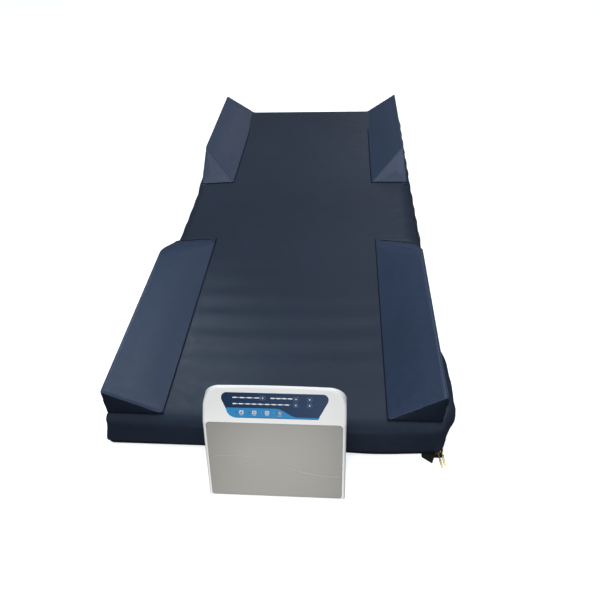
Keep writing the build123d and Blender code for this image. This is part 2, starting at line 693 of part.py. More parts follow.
ROCKER_R = 8
ROCKER_TILT = 7
ROCKER_PIVOT_X = LEFT_X + 4.5
with BuildPart() as rocker:
    tilted = Plane(origin=(ROCKER_PIVOT_X, INLET_Y, ROCKER_Z),
                   x_dir=(cos(radians(ROCKER_TILT)), 0, sin(radians(ROCKER_TILT))), z_dir=(0, -1, 0))
    with BuildSketch(tilted):
        Circle(ROCKER_R)
        with BuildLine():
            Polyline((-4.6, 0), (-6.4, ROCKER_R + EPS), (-ROCKER_R - EPS, ROCKER_R + EPS),
                     (-ROCKER_R - EPS, -ROCKER_R - EPS), (-6.4, -ROCKER_R - EPS), close=True)
        make_face(mode=Mode.SUBTRACT)
    extrude(amount=6.3, both=True)
save(rocker, "power_rocker")

LOUVRE_COUNT = 7
with BuildPart() as filter_cover:
    with BuildSketch(Plane.YZ.offset(RIGHT_X - 2)):
        with Locations((FILTER_Y, FILTER_Z)):
            RectangleRounded(*FILTER_SIZE, 3)
            with GridLocations(0, 6, 1, LOUVRE_COUNT):
                SlotOverall(FILTER_SIZE[0] - 8, 2.4, mode=Mode.SUBTRACT)
    extrude(amount=2)
save(filter_cover, "filter_cover")

with BuildPart() as air_filter:
    with BuildSketch(Plane.YZ.offset(RIGHT_X - 8)):
        with Locations((FILTER_Y, FILTER_Z)):
            Rectangle(FILTER_SIZE[0], FILTER_SIZE[1])
    extrude(amount=5)
save(air_filter, "air_filter")

# ---------------------------------------------------------------- hanging hooks, feet, screws
HOOK_SPREAD = 90
HOOK_PIVOT_Y, HOOK_PIVOT_Z = -1022.5, 215
HOOK_PIN_R = 2
HOOK_W = 15
HOOK_TOP_Z = 250
HOOK_TIP_Y = -1004
HOOK_T = 4
EAR_T = 3
EAR_GAP = 0.5
with BuildPart() as brackets:
    for hook_x in (PUMP_X - HOOK_SPREAD, PUMP_X + HOOK_SPREAD):
        with BuildSketch(Plane.XZ.offset(-PUMP_BACK_Y)):
            with Locations((hook_x, HOOK_PIVOT_Z)):
                RectangleRounded(30, 26, 3)
        extrude(amount=-2)
        for side in (-1, 1):
            inner = hook_x + side * (HOOK_W / 2 + EAR_GAP)
            with BuildSketch(Plane.YZ.offset(inner)):
                with Locations((HOOK_PIVOT_Y, HOOK_PIVOT_Z)):
                    Circle(5)
                with Locations((HOOK_PIVOT_Y - 3.5, HOOK_PIVOT_Z)):
                    Rectangle(7, 10)
            extrude(amount=side * EAR_T)
        with BuildSketch(Plane.YZ.offset(hook_x - HOOK_W / 2 - EAR_GAP)):
            with Locations((HOOK_PIVOT_Y, HOOK_PIVOT_Z)):
                Circle(HOOK_PIN_R)
        extrude(amount=HOOK_W + 2 * EAR_GAP)
save(brackets, "hook_brackets")

for side_name, hook_x in (("left", PUMP_X - HOOK_SPREAD), ("right", PUMP_X + HOOK_SPREAD)):
    with BuildPart() as hook:
        with BuildSketch(Plane.YZ.offset(hook_x - HOOK_W / 2)):
            with Locations((HOOK_PIVOT_Y, HOOK_PIVOT_Z)):
                Circle(4.5)
            with BuildLine():
                Polyline((HOOK_PIVOT_Y - 2, HOOK_PIVOT_Z), (HOOK_PIVOT_Y - 2, HOOK_TOP_Z),
                         (HOOK_TIP_Y, HOOK_TOP_Z), (HOOK_TIP_Y, HOOK_TOP_Z - HOOK_T),
                         (HOOK_PIVOT_Y + 2, HOOK_TOP_Z - HOOK_T), (HOOK_PIVOT_Y + 2, HOOK_PIVOT_Z),
                         close=True)
            make_face()
            with Locations((HOOK_PIVOT_Y, HOOK_PIVOT_Z)):
                Circle(HOOK_PIN_R + RUN_CLEAR, mode=Mode.SUBTRACT)
        extrude(amount=HOOK_W)
        tip = hook.faces().sort_by(Axis.Y)[-1]
        fillet(tip.edges().filter_by(Axis.Z), radius=3)
    save(hook, f"hook_{side_name}")

FOOT_R = 8
with BuildPart() as feet:
    with BuildSketch():
        for y in (-1143, -1066):
            with Locations((PUMP_X - 140, y), (PUMP_X + 140, y)):
                Circle(FOOT_R)
    extrude(amount=PUMP_FOOT_H)
save(feet, "rubber_feet")

SCREW_HEAD_R, SCREW_R = 3.2, 1.5
SCREW_PLACES = [(PUMP_X + side * 150, z) for side in (-1, 1) for z in (22, 140, 262)]
with BuildPart() as screws:
    with BuildSketch(Plane.XZ.offset(-PUMP_BACK_Y)):
        with Locations(*SCREW_PLACES):
            Circle(SCREW_HEAD_R)
            RegularPolygon(1.2, 6, mode=Mode.SUBTRACT)
    extrude(amount=-1.4)
    with BuildSketch(Plane.XZ.offset(-PUMP_BACK_Y)):
        with Locations(*SCREW_PLACES):
            Circle(SCREW_R)
    extrude(amount=9)
save(screws, "housing_screws")
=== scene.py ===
"""A pressure relief mattress with four wedge bolsters and the air pump that stands at its foot end.

The frame gives every place: +X is to the right seen from the foot end, +Y runs to the head end, +Z is up,
and the mattress lies on z = 0. Lengths are in metres.
"""

import json
import math

import bmesh
import bpy
import numpy as np
from mathutils import Matrix, Vector
from mathutils.bvhtree import BVHTree


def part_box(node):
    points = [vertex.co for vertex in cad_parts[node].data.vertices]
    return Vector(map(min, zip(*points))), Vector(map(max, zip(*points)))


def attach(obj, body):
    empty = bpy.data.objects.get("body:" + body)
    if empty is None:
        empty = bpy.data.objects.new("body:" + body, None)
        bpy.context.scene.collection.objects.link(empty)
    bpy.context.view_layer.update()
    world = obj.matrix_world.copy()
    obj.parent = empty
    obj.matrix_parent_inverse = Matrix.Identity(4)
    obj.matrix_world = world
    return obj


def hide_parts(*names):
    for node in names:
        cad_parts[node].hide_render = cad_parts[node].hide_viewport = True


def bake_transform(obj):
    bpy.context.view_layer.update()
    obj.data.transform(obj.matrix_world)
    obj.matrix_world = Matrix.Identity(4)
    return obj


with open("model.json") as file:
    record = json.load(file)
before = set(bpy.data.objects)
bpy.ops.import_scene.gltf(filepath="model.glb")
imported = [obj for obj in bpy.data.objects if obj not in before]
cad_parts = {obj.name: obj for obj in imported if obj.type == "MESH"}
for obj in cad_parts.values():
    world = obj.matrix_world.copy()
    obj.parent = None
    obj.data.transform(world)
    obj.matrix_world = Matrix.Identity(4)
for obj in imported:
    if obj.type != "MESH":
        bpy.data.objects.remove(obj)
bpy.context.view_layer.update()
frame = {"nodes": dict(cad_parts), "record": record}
NODES = frame["nodes"]
MM = 0.001

# ---------------- places read from the frame
cover_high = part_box("top_cover_head")[1]
HALF_W = cover_high.x
HALF_L = cover_high.y
TOP = cover_high.z
PUMP_LOW, PUMP_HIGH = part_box("pump_rear_housing")
CELL_PITCH = 100 * MM
HIP_FOOT_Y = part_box("foot_bolster_cover_right")[1].y  # the hip ends of the foot and head bolsters
HIP_HEAD_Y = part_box("head_bolster_cover_right")[0].y
ZIP_Z = 9 * MM  # middle height of the zip
ZIP_TOP = 15.4 * MM  # the navy cover hangs down to here


# ================ small helpers
def smooth(t):
    """Smoothstep of t held to 0..1."""
    t = np.clip(t, 0, 1)
    return t * t * (3 - 2 * t)


def ramp(value, start, end):
    """0 at start, 1 at end, smooth between."""
    return smooth((value - start) / (end - start))


def hump(value, centre, half):
    """1 at centre, 0 from half away on."""
    return smooth(1 - np.abs(value - centre) / half)


def ripple_noise(a, b, seed):
    """Gentle deterministic unevenness between about -1 and 1, for wrinkles and lumps."""
    rng = np.random.default_rng(seed)
    total = np.zeros(np.broadcast(a, b).shape)
    for octave in (1, 2, 4):
        angle, phase = rng.uniform(0, 2 * math.pi, 2)
        total = total + np.sin(octave * (a * math.cos(angle) + b * math.sin(angle)) + phase) / octave
        angle, phase = rng.uniform(0, 2 * math.pi, 2)
        total = total + np.sin(octave * 1.37 * (b * math.cos(angle) - a * math.sin(angle)) + phase) / octave
    return total / 3.5


def turn_outward(mesh, weld=0):
    """Merge points closer than weld and turn the faces outward."""
    fixer = bmesh.new()
    fixer.from_mesh(mesh)
    if weld:
        bmesh.ops.remove_doubles(fixer, verts=fixer.verts, dist=weld)
    bmesh.ops.recalc_face_normals(fixer, faces=fixer.faces)
    fixer.to_mesh(mesh)
    fixer.free()


def mesh_object(name, verts, faces, material, smooth_shade=True):
    mesh = bpy.data.meshes.new(name)
    mesh.from_pydata([tuple(map(float, v)) for v in verts], [], faces)
    mesh.validate()
    mesh.update()
    turn_outward(mesh)
    for polygon in mesh.polygons:
        polygon.use_smooth = smooth_shade
    mesh.materials.append(material)
    obj = bpy.data.objects.new(name, mesh)
    bpy.context.scene.collection.objects.link(obj)
    return obj


def vertex_array(obj):
    co = np.empty(len(obj.data.vertices) * 3, np.float32)
    obj.data.vertices.foreach_get("co", co)
    return co.reshape(-1, 3).astype(float)


def set_vertices(obj, co):
    obj.data.vertices.foreach_set("co", np.asarray(co, np.float32).ravel())
    obj.data.update()


def apply_modifiers(obj):
    depsgraph = bpy.context.evaluated_depsgraph_get()
    depsgraph.update()
    final = bpy.data.meshes.new_from_object(obj.evaluated_get(depsgraph))
    old = obj.data
    obj.modifiers.clear()
    obj.data = final
    bpy.data.meshes.remove(old)


def lines_between(low, high, step, edge, fine=4):
    """Grid lines from low to high, about step apart, with fine ones in the rounded strip at both ends."""
    inner = np.linspace(low + edge, high - edge, max(2, int(round((high - low - 2 * edge) / step)) + 1))
    near = low + edge * np.arange(fine) / fine
    return np.concatenate([near, inner, (low + high) - near[::-1]])


def block(name, xs, ys, zs, low_radius, high_radius, material, shape):
    """A closed block with grid lines at xs, ys and zs, then moved by shape.

    Its edges are rounded by low_radius at the bottom and by high_radius at the top.  A radius is three
    lengths, and high_radius may be a function that gives them for each point.
    """
    index, verts, faces = {}, [], []
    grid = (xs, ys, zs)

    def at(place):
        key = tuple(place[axis] for axis in range(3))
        if key not in index:
            index[key] = len(verts)
            verts.append(tuple(lines[n] for lines, n in zip(grid, key)))
        return index[key]

    for fixed, first, second in ((2, 0, 1), (0, 1, 2), (1, 0, 2)):
        for end in (0, len(grid[fixed]) - 1):
            for a in range(len(grid[first]) - 1):
                for b in range(len(grid[second]) - 1):
                    square = ((a, b), (a + 1, b), (a + 1, b + 1), (a, b + 1))
                    faces.append(tuple(at({fixed: end, first: p, second: q}) for p, q in square))
    co = np.array(verts, float)
    low, high = co.min(0), co.max(0)
    up = ramp(co[:, 2], low[2], high[2])[:, None]
    top_radius = high_radius(co) if callable(high_radius) else np.array(high_radius)
    radius = np.array(low_radius) * (1 - up) + top_radius * up
    inner = np.clip(co, low + radius, high - radius)
    out = (co - inner) / radius
    length = np.linalg.norm(out, axis=1, keepdims=True)
    out = np.where(length > 1e-9, out / np.maximum(length, 1e-9), 0)
    co = inner + out * radius
    return mesh_object(name, shape(co), faces, material)


def skin_rings(name, verts, sides, material):
    """A strip over rings of that many vertices, one ring after another, capped at both ends."""
    faces = []
    for start in range(0, len(verts) - sides, sides):
        for s in range(sides):
            t = (s + 1) % sides
            faces.append((start + s, start + t, start + sides + t, start + sides + s))
    faces.append(tuple(range(sides)))
    faces.append(tuple(reversed(range(len(verts) - sides, len(verts)))))
    return mesh_object(name, verts, faces, material)


def tube(name, points, radius, material, sides=8):
    """A round strip along the points, capped at both ends; radius is one length or a list."""
    points = [Vector(p) for p in points]
    count = len(points)
    radii = np.broadcast_to(radius, count)
    verts = []
    reference = Vector((0, 0, 1))
    for n, point in enumerate(points):
        before = points[max(n - 1, 0)]
        after = points[min(n + 1, count - 1)]
        along = (after - before).normalized()
        side = along.cross(reference)
        if side.length < 1e-4:
            side = along.cross(Vector((0, 1, 0)))
        side.normalize()
        over = side.cross(along).normalized()
        for s in range(sides):
            angle = 2 * math.pi * s / sides
            verts.append(point + float(radii[n]) * (math.cos(angle) * side + math.sin(angle) * over))
    return skin_rings(name, verts, sides, material)


# ================ materials
def new_material(name, colour, roughness, metallic=0.0, specular=0.5):
    material = bpy.data.materials.new(name)
    material.use_nodes = True
    shader = material.node_tree.nodes["Principled BSDF"]
    shader.inputs["Base Color"].default_value = (*colour, 1)
    shader.inputs["Roughness"].default_value = roughness
    shader.inputs["Metallic"].default_value = metallic
    shader.inputs["Specular IOR Level"].default_value = specular
    return material, material.node_tree.nodes, material.node_tree.links, shader


def object_coordinates(nodes, links, scale=(1, 1, 1)):
    place = nodes.new("ShaderNodeTexCoord")
    mapping = nodes.new("ShaderNodeMapping")
    mapping.inputs["Scale"].default_value = scale
    links.new(place.outputs["Object"], mapping.inputs["Vector"])
    return mapping.outputs["Vector"]


def noise_node(nodes, links, vector, scale, detail=3.0, roughness=0.5):
    noise = nodes.new("ShaderNodeTexNoise")
    noise.inputs["Scale"].default_value = scale
    noise.inputs["Detail"].default_value = detail
    noise.inputs["Roughness"].default_value = roughness
    links.new(vector, noise.inputs["Vector"])
    return noise.outputs["Fac"]


def colour_ramp(nodes, links, fac, stops):
    node = nodes.new("ShaderNodeValToRGB")
    ramp_colours = node.color_ramp
    while len(ramp_colours.elements) < len(stops):
        ramp_colours.elements.new(0.5)
    for element, (position, colour) in zip(ramp_colours.elements, stops):
        element.position = position
        element.color = (*colour, 1)
    links.new(fac, node.inputs["Fac"])
    return node.outputs["Color"]


def multiply_colours(nodes, links, a, b):
    node = nodes.new("ShaderNodeMix")
    node.data_type = "RGBA"
    node.blend_type = "MULTIPLY"
    node.inputs["Factor"].default_value = 1.0
    links.new(a, node.inputs[6])
    links.new(b, node.inputs[7])
    return node.outputs[2]


def map_range(nodes, links, value, low, high, from_low=0.0, from_high=1.0):
    node = nodes.new("ShaderNodeMapRange")
    node.inputs["From Min"].default_value = from_low
    node.inputs["From Max"].default_value = from_high
    node.inputs["To Min"].default_value = low
    node.inputs["To Max"].default_value = high
    links.new(value, node.inputs["Value"])
    return node.outputs["Result"]


def add_bump(nodes, links, shader, heights, distance, strength):
    """Bump from one or more heights, chained."""
    normal = None
    for height in heights:
        bump = nodes.new("ShaderNodeBump")
        bump.inputs["Distance"].default_value = distance
        bump.inputs["Strength"].default_value = strength
        links.new(height, bump.inputs["Height"])
        if normal is not None:
            links.new(normal, bump.inputs["Normal"])
        normal = bump.outputs["Normal"]
    links.new(normal, shader.inputs["Normal"])


WAVE_BANDS = 3.183  # bands in one metre of a wave texture at scale 1


def weave_height(nodes, links, vector, pitch):
    """Crossed threads on any face, from the place in the object."""
    heights = []
    for direction in ("X", "Y", "Z"):
        wave = nodes.new("ShaderNodeTexWave")
        wave.wave_type = "BANDS"
        wave.bands_direction = direction
        wave.inputs["Scale"].default_value = 1 / pitch / WAVE_BANDS
        wave.inputs["Distortion"].default_value = 0.4
        wave.inputs["Detail"].default_value = 1.0
        links.new(vector, wave.inputs["Vector"])
        heights.append(wave.outputs["Fac"])
    total = heights[0]
    for height in heights[1:]:
        add = nodes.new("ShaderNodeMath")
        add.operation = "MAXIMUM"
        links.new(total, add.inputs[0])
        links.new(height, add.inputs[1])
        total = add.outputs["Value"]
    return total


def coated_fabric(name, dark, light, roughness=0.46, specular=0.3, grain=0.25):
    """Coated nylon: a close weave under a soft, slightly glossy coat, a little uneven in tone."""
    material, nodes, links, shader = new_material(name, dark, roughness, specular=specular)
    vector = object_coordinates(nodes, links)
    broad = noise_node(nodes, links, vector, 2.2, 2.0)
    fine = noise_node(nodes, links, vector, 46.0, 4.0)
    base = colour_ramp(nodes, links, broad, [(0.32, dark), (0.68, light)])
    speck = colour_ramp(nodes, links, fine, [(0.3, (0.93, 0.93, 0.93)), (0.7, (1.05, 1.05, 1.05))])
    colour = multiply_colours(nodes, links, base, speck)
    links.new(colour, shader.inputs["Base Color"])
    rough = map_range(nodes, links, fine, roughness - 0.05, roughness + 0.07, 0.25, 0.75)
    links.new(rough, shader.inputs["Roughness"])
    weave = weave_height(nodes, links, vector, 1.6 * MM)
    grain_height = noise_node(nodes, links, vector, 420.0, 2.0)
    add_bump(nodes, links, shader, [weave, grain_height], 0.0003, grain)
    return material


def moulded_plastic(name, colour, roughness, texture=0.12, tint=0.03):
    """Injection-moulded plastic with a fine spark texture and faint flow marks."""
    material, nodes, links, shader = new_material(name, colour, roughness)
    vector = object_coordinates(nodes, links)
    broad = noise_node(nodes, links, vector, 9.0, 2.0)
    low = tuple(c * (1 - tint) for c in colour)
    high = tuple(min(1.0, c * (1 + tint)) for c in colour)
    links.new(colour_ramp(nodes, links, broad, [(0.3, low), (0.7, high)]), shader.inputs["Base Color"])
    fine = noise_node(nodes, links, vector, 900.0, 3.0)
    links.new(map_range(nodes, links, fine, roughness - 0.06, roughness + 0.06), shader.inputs["Roughness"])
    add_bump(nodes, links, shader, [fine], 0.00015, texture)
    return material


def plain_metal(name, colour, roughness, scratch=0.1, stretch=(1, 1, 14)):
    """Metal with a brushed grain and slight wear."""
    material, nodes, links, shader = new_material(name, colour, roughness, metallic=1.0)
    vector = object_coordinates(nodes, links, stretch)
    brushed = noise_node(nodes, links, vector, 260.0, 5.0, 0.6)
    low = tuple(c * 0.82 for c in colour)
    links.new(colour_ramp(nodes, links, brushed, [(0.3, low), (0.7, colour)]), shader.inputs["Base Color"])
    rough = map_range(nodes, links, brushed, roughness - 0.08, roughness + 0.12)
    links.new(rough, shader.inputs["Roughness"])
    add_bump(nodes, links, shader, [brushed], 0.0001, scratch)
    return material


def webbing_material(name, dark, light):
    """Woven strap: ribs across the strap, worn a little on their crests."""
    material, nodes, links, shader = new_material(name, dark, 0.75, specular=0.3)
    vector = object_coordinates(nodes, links)
    weave = weave_height(nodes, links, vector, 1.9 * MM)
    wear = noise_node(nodes, links, vector, 60.0, 3.0)
    links.new(colour_ramp(nodes, links, weave, [(0.2, dark), (0.95, light)]), shader.inputs["Base Color"])
    links.new(map_range(nodes, links, wear, 0.68, 0.86), shader.inputs["Roughness"])
    add_bump(nodes, links, shader, [weave], 0.0006, 0.7)
    return material


def printed_film(name, left, right, low_x, high_x, roughness=0.34):
    """Printed polyester film over the keys, its navy a little lighter towards the right."""
    material, nodes, links, shader = new_material(name, left, roughness, specular=0.2)
    place = nodes.new("ShaderNodeTexCoord")
    split = nodes.new("ShaderNodeSeparateXYZ")
    links.new(place.outputs["Object"], split.inputs["Vector"])
    across = map_range(nodes, links, split.outputs["X"], 0, 1, low_x, high_x)
    base = colour_ramp(nodes, links, across, [(0.0, left), (1.0, right)])
    fine = noise_node(nodes, links, place.outputs["Object"], 700.0, 2.0)
    speck = colour_ramp(nodes, links, fine, [(0.3, (0.94, 0.94, 0.94)), (0.7, (1.05, 1.05, 1.05))])
    links.new(multiply_colours(nodes, links, base, speck), shader.inputs["Base Color"])
    links.new(map_range(nodes, links, fine, roughness - 0.04, roughness + 0.06), shader.inputs["Roughness"])
    add_bump(nodes, links, shader, [fine], 0.0001, 0.08)
    return material


NAVY = coated_fabric("cover_navy", (0.0130, 0.0195, 0.0330), (0.0165, 0.0240, 0.0395), 0.44, 0.2)
NAVY_BOLSTER = coated_fabric("bolster_navy", (0.0170, 0.0290, 0.0570), (0.0212, 0.0360, 0.0690), 0.38, 0.3)
# a darker copy of the bolster cloth for the foot bolsters' end faces: painted shade
NAVY_PAINTED_SHADE = coated_fabric("bolster_navy_painted_shade", (0.0088, 0.0132, 0.0232), (0.0114, 0.0166, 0.0290), 0.55, 0.12)
BLACK_FABRIC = coated_fabric("base_black", (0.006, 0.006, 0.008), (0.010, 0.010, 0.012), 0.55)
# lighter navy for the piping along the bolster edges: real piping, with its lighter tone a painted
# highlight
WELT_PAINTED_HIGHLIGHT = coated_fabric("bolster_welt_painted_highlight", (0.034, 0.046, 0.088), (0.042, 0.056, 0.104), 0.46, 0.3)
SEAM_THREAD = coated_fabric("seam_thread", (0.004, 0.005, 0.012), (0.007, 0.008, 0.016), 0.7, 0.1)
ZIP_TAPE = webbing_material("zip_tape", (0.006, 0.006, 0.007), (0.020, 0.020, 0.022))
ZIP_COIL = moulded_plastic("zip_coil", (0.012, 0.012, 0.013), 0.35)
BLACK_WEBBING = webbing_material("strap_black", (0.004, 0.004, 0.005), (0.018, 0.018, 0.020))
RED_WEBBING = webbing_material("strap_red", (0.28, 0.012, 0.010), (0.50, 0.030, 0.022))
# a lighter copy of the grey housing plastic for the raised wave: painted highlight
GREY_PAINTED_HIGHLIGHT = moulded_plastic("housing_grey_painted_highlight", (0.40, 0.385, 0.345), 0.4)
KEY_PALE = moulded_plastic("key_pale", (0.58, 0.60, 0.62), 0.35)
KEY_GREY = moulded_plastic("key_grey", (0.20, 0.22, 0.26), 0.35)
LAMP_OFF = moulded_plastic("lamp_off", (0.09, 0.03, 0.02), 0.3, 0.05)
PUMP_SPAN = (PUMP_LOW.x, PUMP_HIGH.x)
BLUE_PRINT = printed_film("panel_blue", (0.034, 0.220, 0.450), (0.040, 0.240, 0.480), *PUMP_SPAN)
WHITE_PRINT = moulded_plastic("panel_white", (0.78, 0.80, 0.82), 0.35, 0.05)
WHITE_DIM = moulded_plastic("panel_line", (0.13, 0.17, 0.24), 0.35, 0.05)
SIGN_DARK = moulded_plastic("panel_ink", (0.05, 0.06, 0.09), 0.4, 0.05)

SLOT_MATERIALS = {
    "cover_fabric": NAVY,
    "bolster_fabric": NAVY_BOLSTER,
    "base_fabric": BLACK_FABRIC,
    "zip_tape": ZIP_TAPE,
    "cell_film": moulded_plastic("cell_film", (0.08, 0.12, 0.24), 0.4, 0.3),
    "foam": moulded_plastic("foam", (0.62, 0.58, 0.42), 0.95, 1.0, 0.12),
    "tubing": moulded_plastic("tubing", (0.45, 0.47, 0.50), 0.25, 0.05),
    "valve_plastic": moulded_plastic("valve_plastic", (0.10, 0.11, 0.12), 0.42),
    "webbing": BLACK_WEBBING,
    "red_webbing": RED_WEBBING,
    "brass": plain_metal("brass", (0.62, 0.46, 0.22), 0.36),
    "housing_white": moulded_plastic("housing_white", (0.80, 0.775, 0.73), 0.38),
    "housing_grey": moulded_plastic("housing_grey", (0.262, 0.249, 0.219), 0.45),
    "panel_film": printed_film("panel_film", (0.004, 0.022, 0.062), (0.045, 0.068, 0.120), *PUMP_SPAN),
    "lamp_window": moulded_plastic("lamp_window", (0.78, 0.80, 0.78), 0.25, 0.05),
    "key_cap": moulded_plastic("key_cap", (0.05, 0.075, 0.14), 0.35),
    "circuit_board": printed_film(
        "circuit_board", (0.010, 0.075, 0.030), (0.014, 0.090, 0.040), -0.15, 0.18, 0.4
    ),
    "compressor_metal": plain_metal("cast_alloy", (0.56, 0.57, 0.58), 0.5, 0.5, (1, 1, 1)),
    "rubber_black": moulded_plastic("rubber", (0.018, 0.018, 0.018), 0.8, 0.5),
    "motor_steel": plain_metal("motor_case", (0.50, 0.51, 0.53), 0.38),
    "black_plastic": moulded_plastic("black_plastic", (0.014, 0.014, 0.015), 0.42),
    "filter_foam": moulded_plastic("filter_foam", (0.05, 0.05, 0.05), 0.95, 1.0, 0.2),
    "screw_steel": plain_metal("steel", (0.62, 0.62, 0.63), 0.3),
}
PALE_KEYS = ("key_lock", "key_static", "key_mode")
BIG_KEYS = PALE_KEYS + ("key_power",)


def paint(obj, material):
    """Give the object this one material."""
    obj.data.materials.clear()
    obj.data.materials.append(material)


for subpart in frame["record"]["subparts"]:
    paint(NODES[subpart["node"]], SLOT_MATERIALS[subpart["material_slot"]])
for key_name in PALE_KEYS:
    paint(NODES[key_name], KEY_PALE)
paint(NODES["key_power"], KEY_GREY)


# ================ the mattress cover
RIGHT_BULGE = 13 * MM  # how far the right side stands out along its length
CORNER_BULGE = 24 * MM  # and how much more it does near the foot corner
LEFT_LEAN = 10 * MM  # near the foot the left side's top edge leans in
LEFT_FLARE = 22 * MM  # and its bottom edge stands out
FRONT_SAG = 9 * MM  # the front wall sags forward at its foot, right of the pump
SHOULDER = 22 * MM  # rounding of the top edge
HIP_ROUND, FOOT_CRISP = 30 * MM, 8 * MM  # how much more it is at the hip gap, and less at the foot
END_ROLL = 18 * MM  # and how much more across the foot end
PILLOW_RISE = 9 * MM  # the pillow cells stand a little higher at the head end
CORNER_TUCK = 7 * MM  # the right foot corner tapers in to the floor
CORNER_FROM, CORNER_FULL, CORNER_EASE = 640 * MM, 800 * MM, 925 * MM  # the corner bulge along the foot half
STEADY_TO, TUCK_FROM = 960 * MM, 900 * MM  # the puffed side ends, and the corner tuck starts
LEAN_FROM, LEAN_FULL, LEAN_ENDS = 350 * MM, 900 * MM, 1000 * MM  # the left side's lean along the foot half
CELL_LUMP = 4 * MM  # each cell's end shows this much in the right side
CELL_RIPPLE = 3.2 * MM  # and its top this much in the sleeping surface
CROWN = 2.5 * MM  # rise of the sleeping surface in the middle
UNEVEN = 1.0 * MM  # its slow lumps
HIP_ROLL = 5 * MM  # roll of cloth in front of the foot bolsters' hip ends
END_PUCKER = 2.2 * MM  # short creases in the corners of the foot end
DRAWN_CLOTH = 1.6 * MM  # slanting creases by the left foot bolster
HIP_GATHER = 1.7 * MM  # fine wrinkles at the right side of the hip gap
SHEER_FROM = 0.14  # the sides are straight up to this share of their height


def hip_gap(y):
    """1 between the foot and head bolsters, 0 beside them."""
    past_foot = ramp(y, HIP_FOOT_Y - 40 * MM, HIP_FOOT_Y + 30 * MM)
    before_head = ramp(-y, -HIP_HEAD_Y - 30 * MM, -HIP_HEAD_Y + 60 * MM)
    return past_foot * before_head


def shoulder_radius(co):
    """Radii along X, Y and Z: full at the hip gap, crisp sides near the foot and a soft roll at its end."""
    gap = hip_gap(co[:, 1])
    foot = ramp(-co[:, 1], HALF_L - 120 * MM, HALF_L)
    end = ramp(-co[:, 1], HALF_L - 60 * MM, HALF_L - 20 * MM)
    end = end * (1 - 0.75 * ramp(np.abs(co[:, 0]), 370 * MM, 450 * MM))
    side = SHOULDER + HIP_ROUND * gap - FOOT_CRISP * foot
    return np.stack([side, SHOULDER + END_ROLL * end, side + END_ROLL * end], 1)


def side_shape(co):
    """The cover's sides: the right one puffs out over the cells and the foot corner, the left leans in."""
    x, y, z = co.T.copy()
    high = np.clip(z / TOP, 0, 1)
    right = ramp(x, HALF_W - 90 * MM, HALF_W - 10 * MM)
    left = ramp(-x, HALF_W - 70 * MM, HALF_W - 10 * MM)
    lump = 0.5 + 0.5 * np.cos(2 * math.pi * (y - 50 * MM) / CELL_PITCH)
    lump = lump + 0.4 * ripple_noise(y * 14, z * 20, 3)
    belly = np.sin(math.pi * np.clip((high - SHEER_FROM) / 0.86, 0, 1)) ** 0.8
    corner = ramp(-y, CORNER_FROM, CORNER_FULL) * (1 - 1.15 * ramp(-y, CORNER_EASE, HALF_L))
    steady = 1 - ramp(-y, STEADY_TO, HALF_L)
    grown = RIGHT_BULGE * (0.7 + 0.3 * ripple_noise(y * 5, 0 * z, 4)) + CELL_LUMP * lump
    rising = np.clip((high - SHEER_FROM) / 0.7, 0, 1)
    x = x + right * (grown * belly * steady + CORNER_BULGE * corner * rising)
    x = x - right * CORNER_TUCK * ramp(-y, TUCK_FROM, HALF_L) * (1 - ramp(high, 0.0, 0.5))
    front = ramp(-y, HALF_L - 60 * MM, HALF_L - 12 * MM)
    y = y - front * FRONT_SAG * hump(x, 260 * MM, 210 * MM) * (1 - ramp(high, 0.1, 0.9))
    near_foot = ramp(-y, LEAN_FROM, LEAN_FULL)
    lean = LEFT_LEAN * ramp(high, 0.2, 1.0) * (1 - 1.4 * ramp(-y, LEAN_FULL, LEAN_ENDS))
    x = x + left * near_foot * (lean - LEFT_FLARE * (1 - ramp(high, 0.0, 0.9)))
    x = x - left * 2.0 * MM * lump * belly * (1 - near_foot)
    return np.stack([x, y, z], 1)


def cover_shape(co):
    """The sleeping surface: a slight crown, ripples over the cells and creases where the cloth is drawn."""
    x, y, z = co.T.copy()
    over = ramp(z, 60 * MM, 110 * MM)
    middle = 1 - ramp(np.abs(x), 230 * MM, 330 * MM)
    inside = 1 - ramp(np.abs(y), HALF_L - 120 * MM, HALF_L - 20 * MM)
    z = z + over * inside * CROWN * (1 - (x / HALF_W) ** 2)
    z = z + over * PILLOW_RISE * ramp(y, HALF_L - 330 * MM, HALF_L - 60 * MM)
    cells = np.cos(2 * math.pi * (y + 9 * MM * ripple_noise(x * 6, y * 3, 11)) / CELL_PITCH)
    strength = 0.15 + 1.0 * hump(y, -600 * MM, 330 * MM)
    fade = np.clip(0.5 + 0.8 * ripple_noise(x * 4, y * 5, 12), 0, 1.2)
    z = z + over * middle * inside * strength * fade * CELL_RIPPLE * cells
    z = z + over * inside * UNEVEN * ripple_noise(x * 9, y * 5, 13)
    roll = hump(y, HIP_FOOT_Y + 10 * MM, 16 * MM) * ramp(np.abs(x), 285 * MM, 340 * MM)
    z = z + over * roll * HIP_ROLL
    pucker = ramp(-y, 930 * MM, 1000 * MM) * ramp(np.abs(x), 300 * MM, 400 * MM)
    z = z + over * pucker * END_PUCKER * ripple_noise(x * 95, y * 70, 15)
    drawn = hump(y, -930 * MM, 90 * MM) * hump(x, -240 * MM, 90 * MM)
    z = z + over * drawn * DRAWN_CLOTH * np.sin((x * 0.8 + y) * 150)
    gathered = ramp(x, 300 * MM, 430 * MM) * hip_gap(y) * hump(y, -60 * MM, 230 * MM)
    wrinkle = np.sin((x - y * 1.5) * 55 + 2 * ripple_noise(x * 9, y * 9, 16))
    z = z + over * gathered * HIP_GATHER * wrinkle
    bow = ramp(-y, HALF_L - 60 * MM, HALF_L) * (1 - over)
    y = y - bow * 3 * MM * ripple_noise(x * 12, z * 16, 14)
    return side_shape(np.stack([x, y, z], 1))


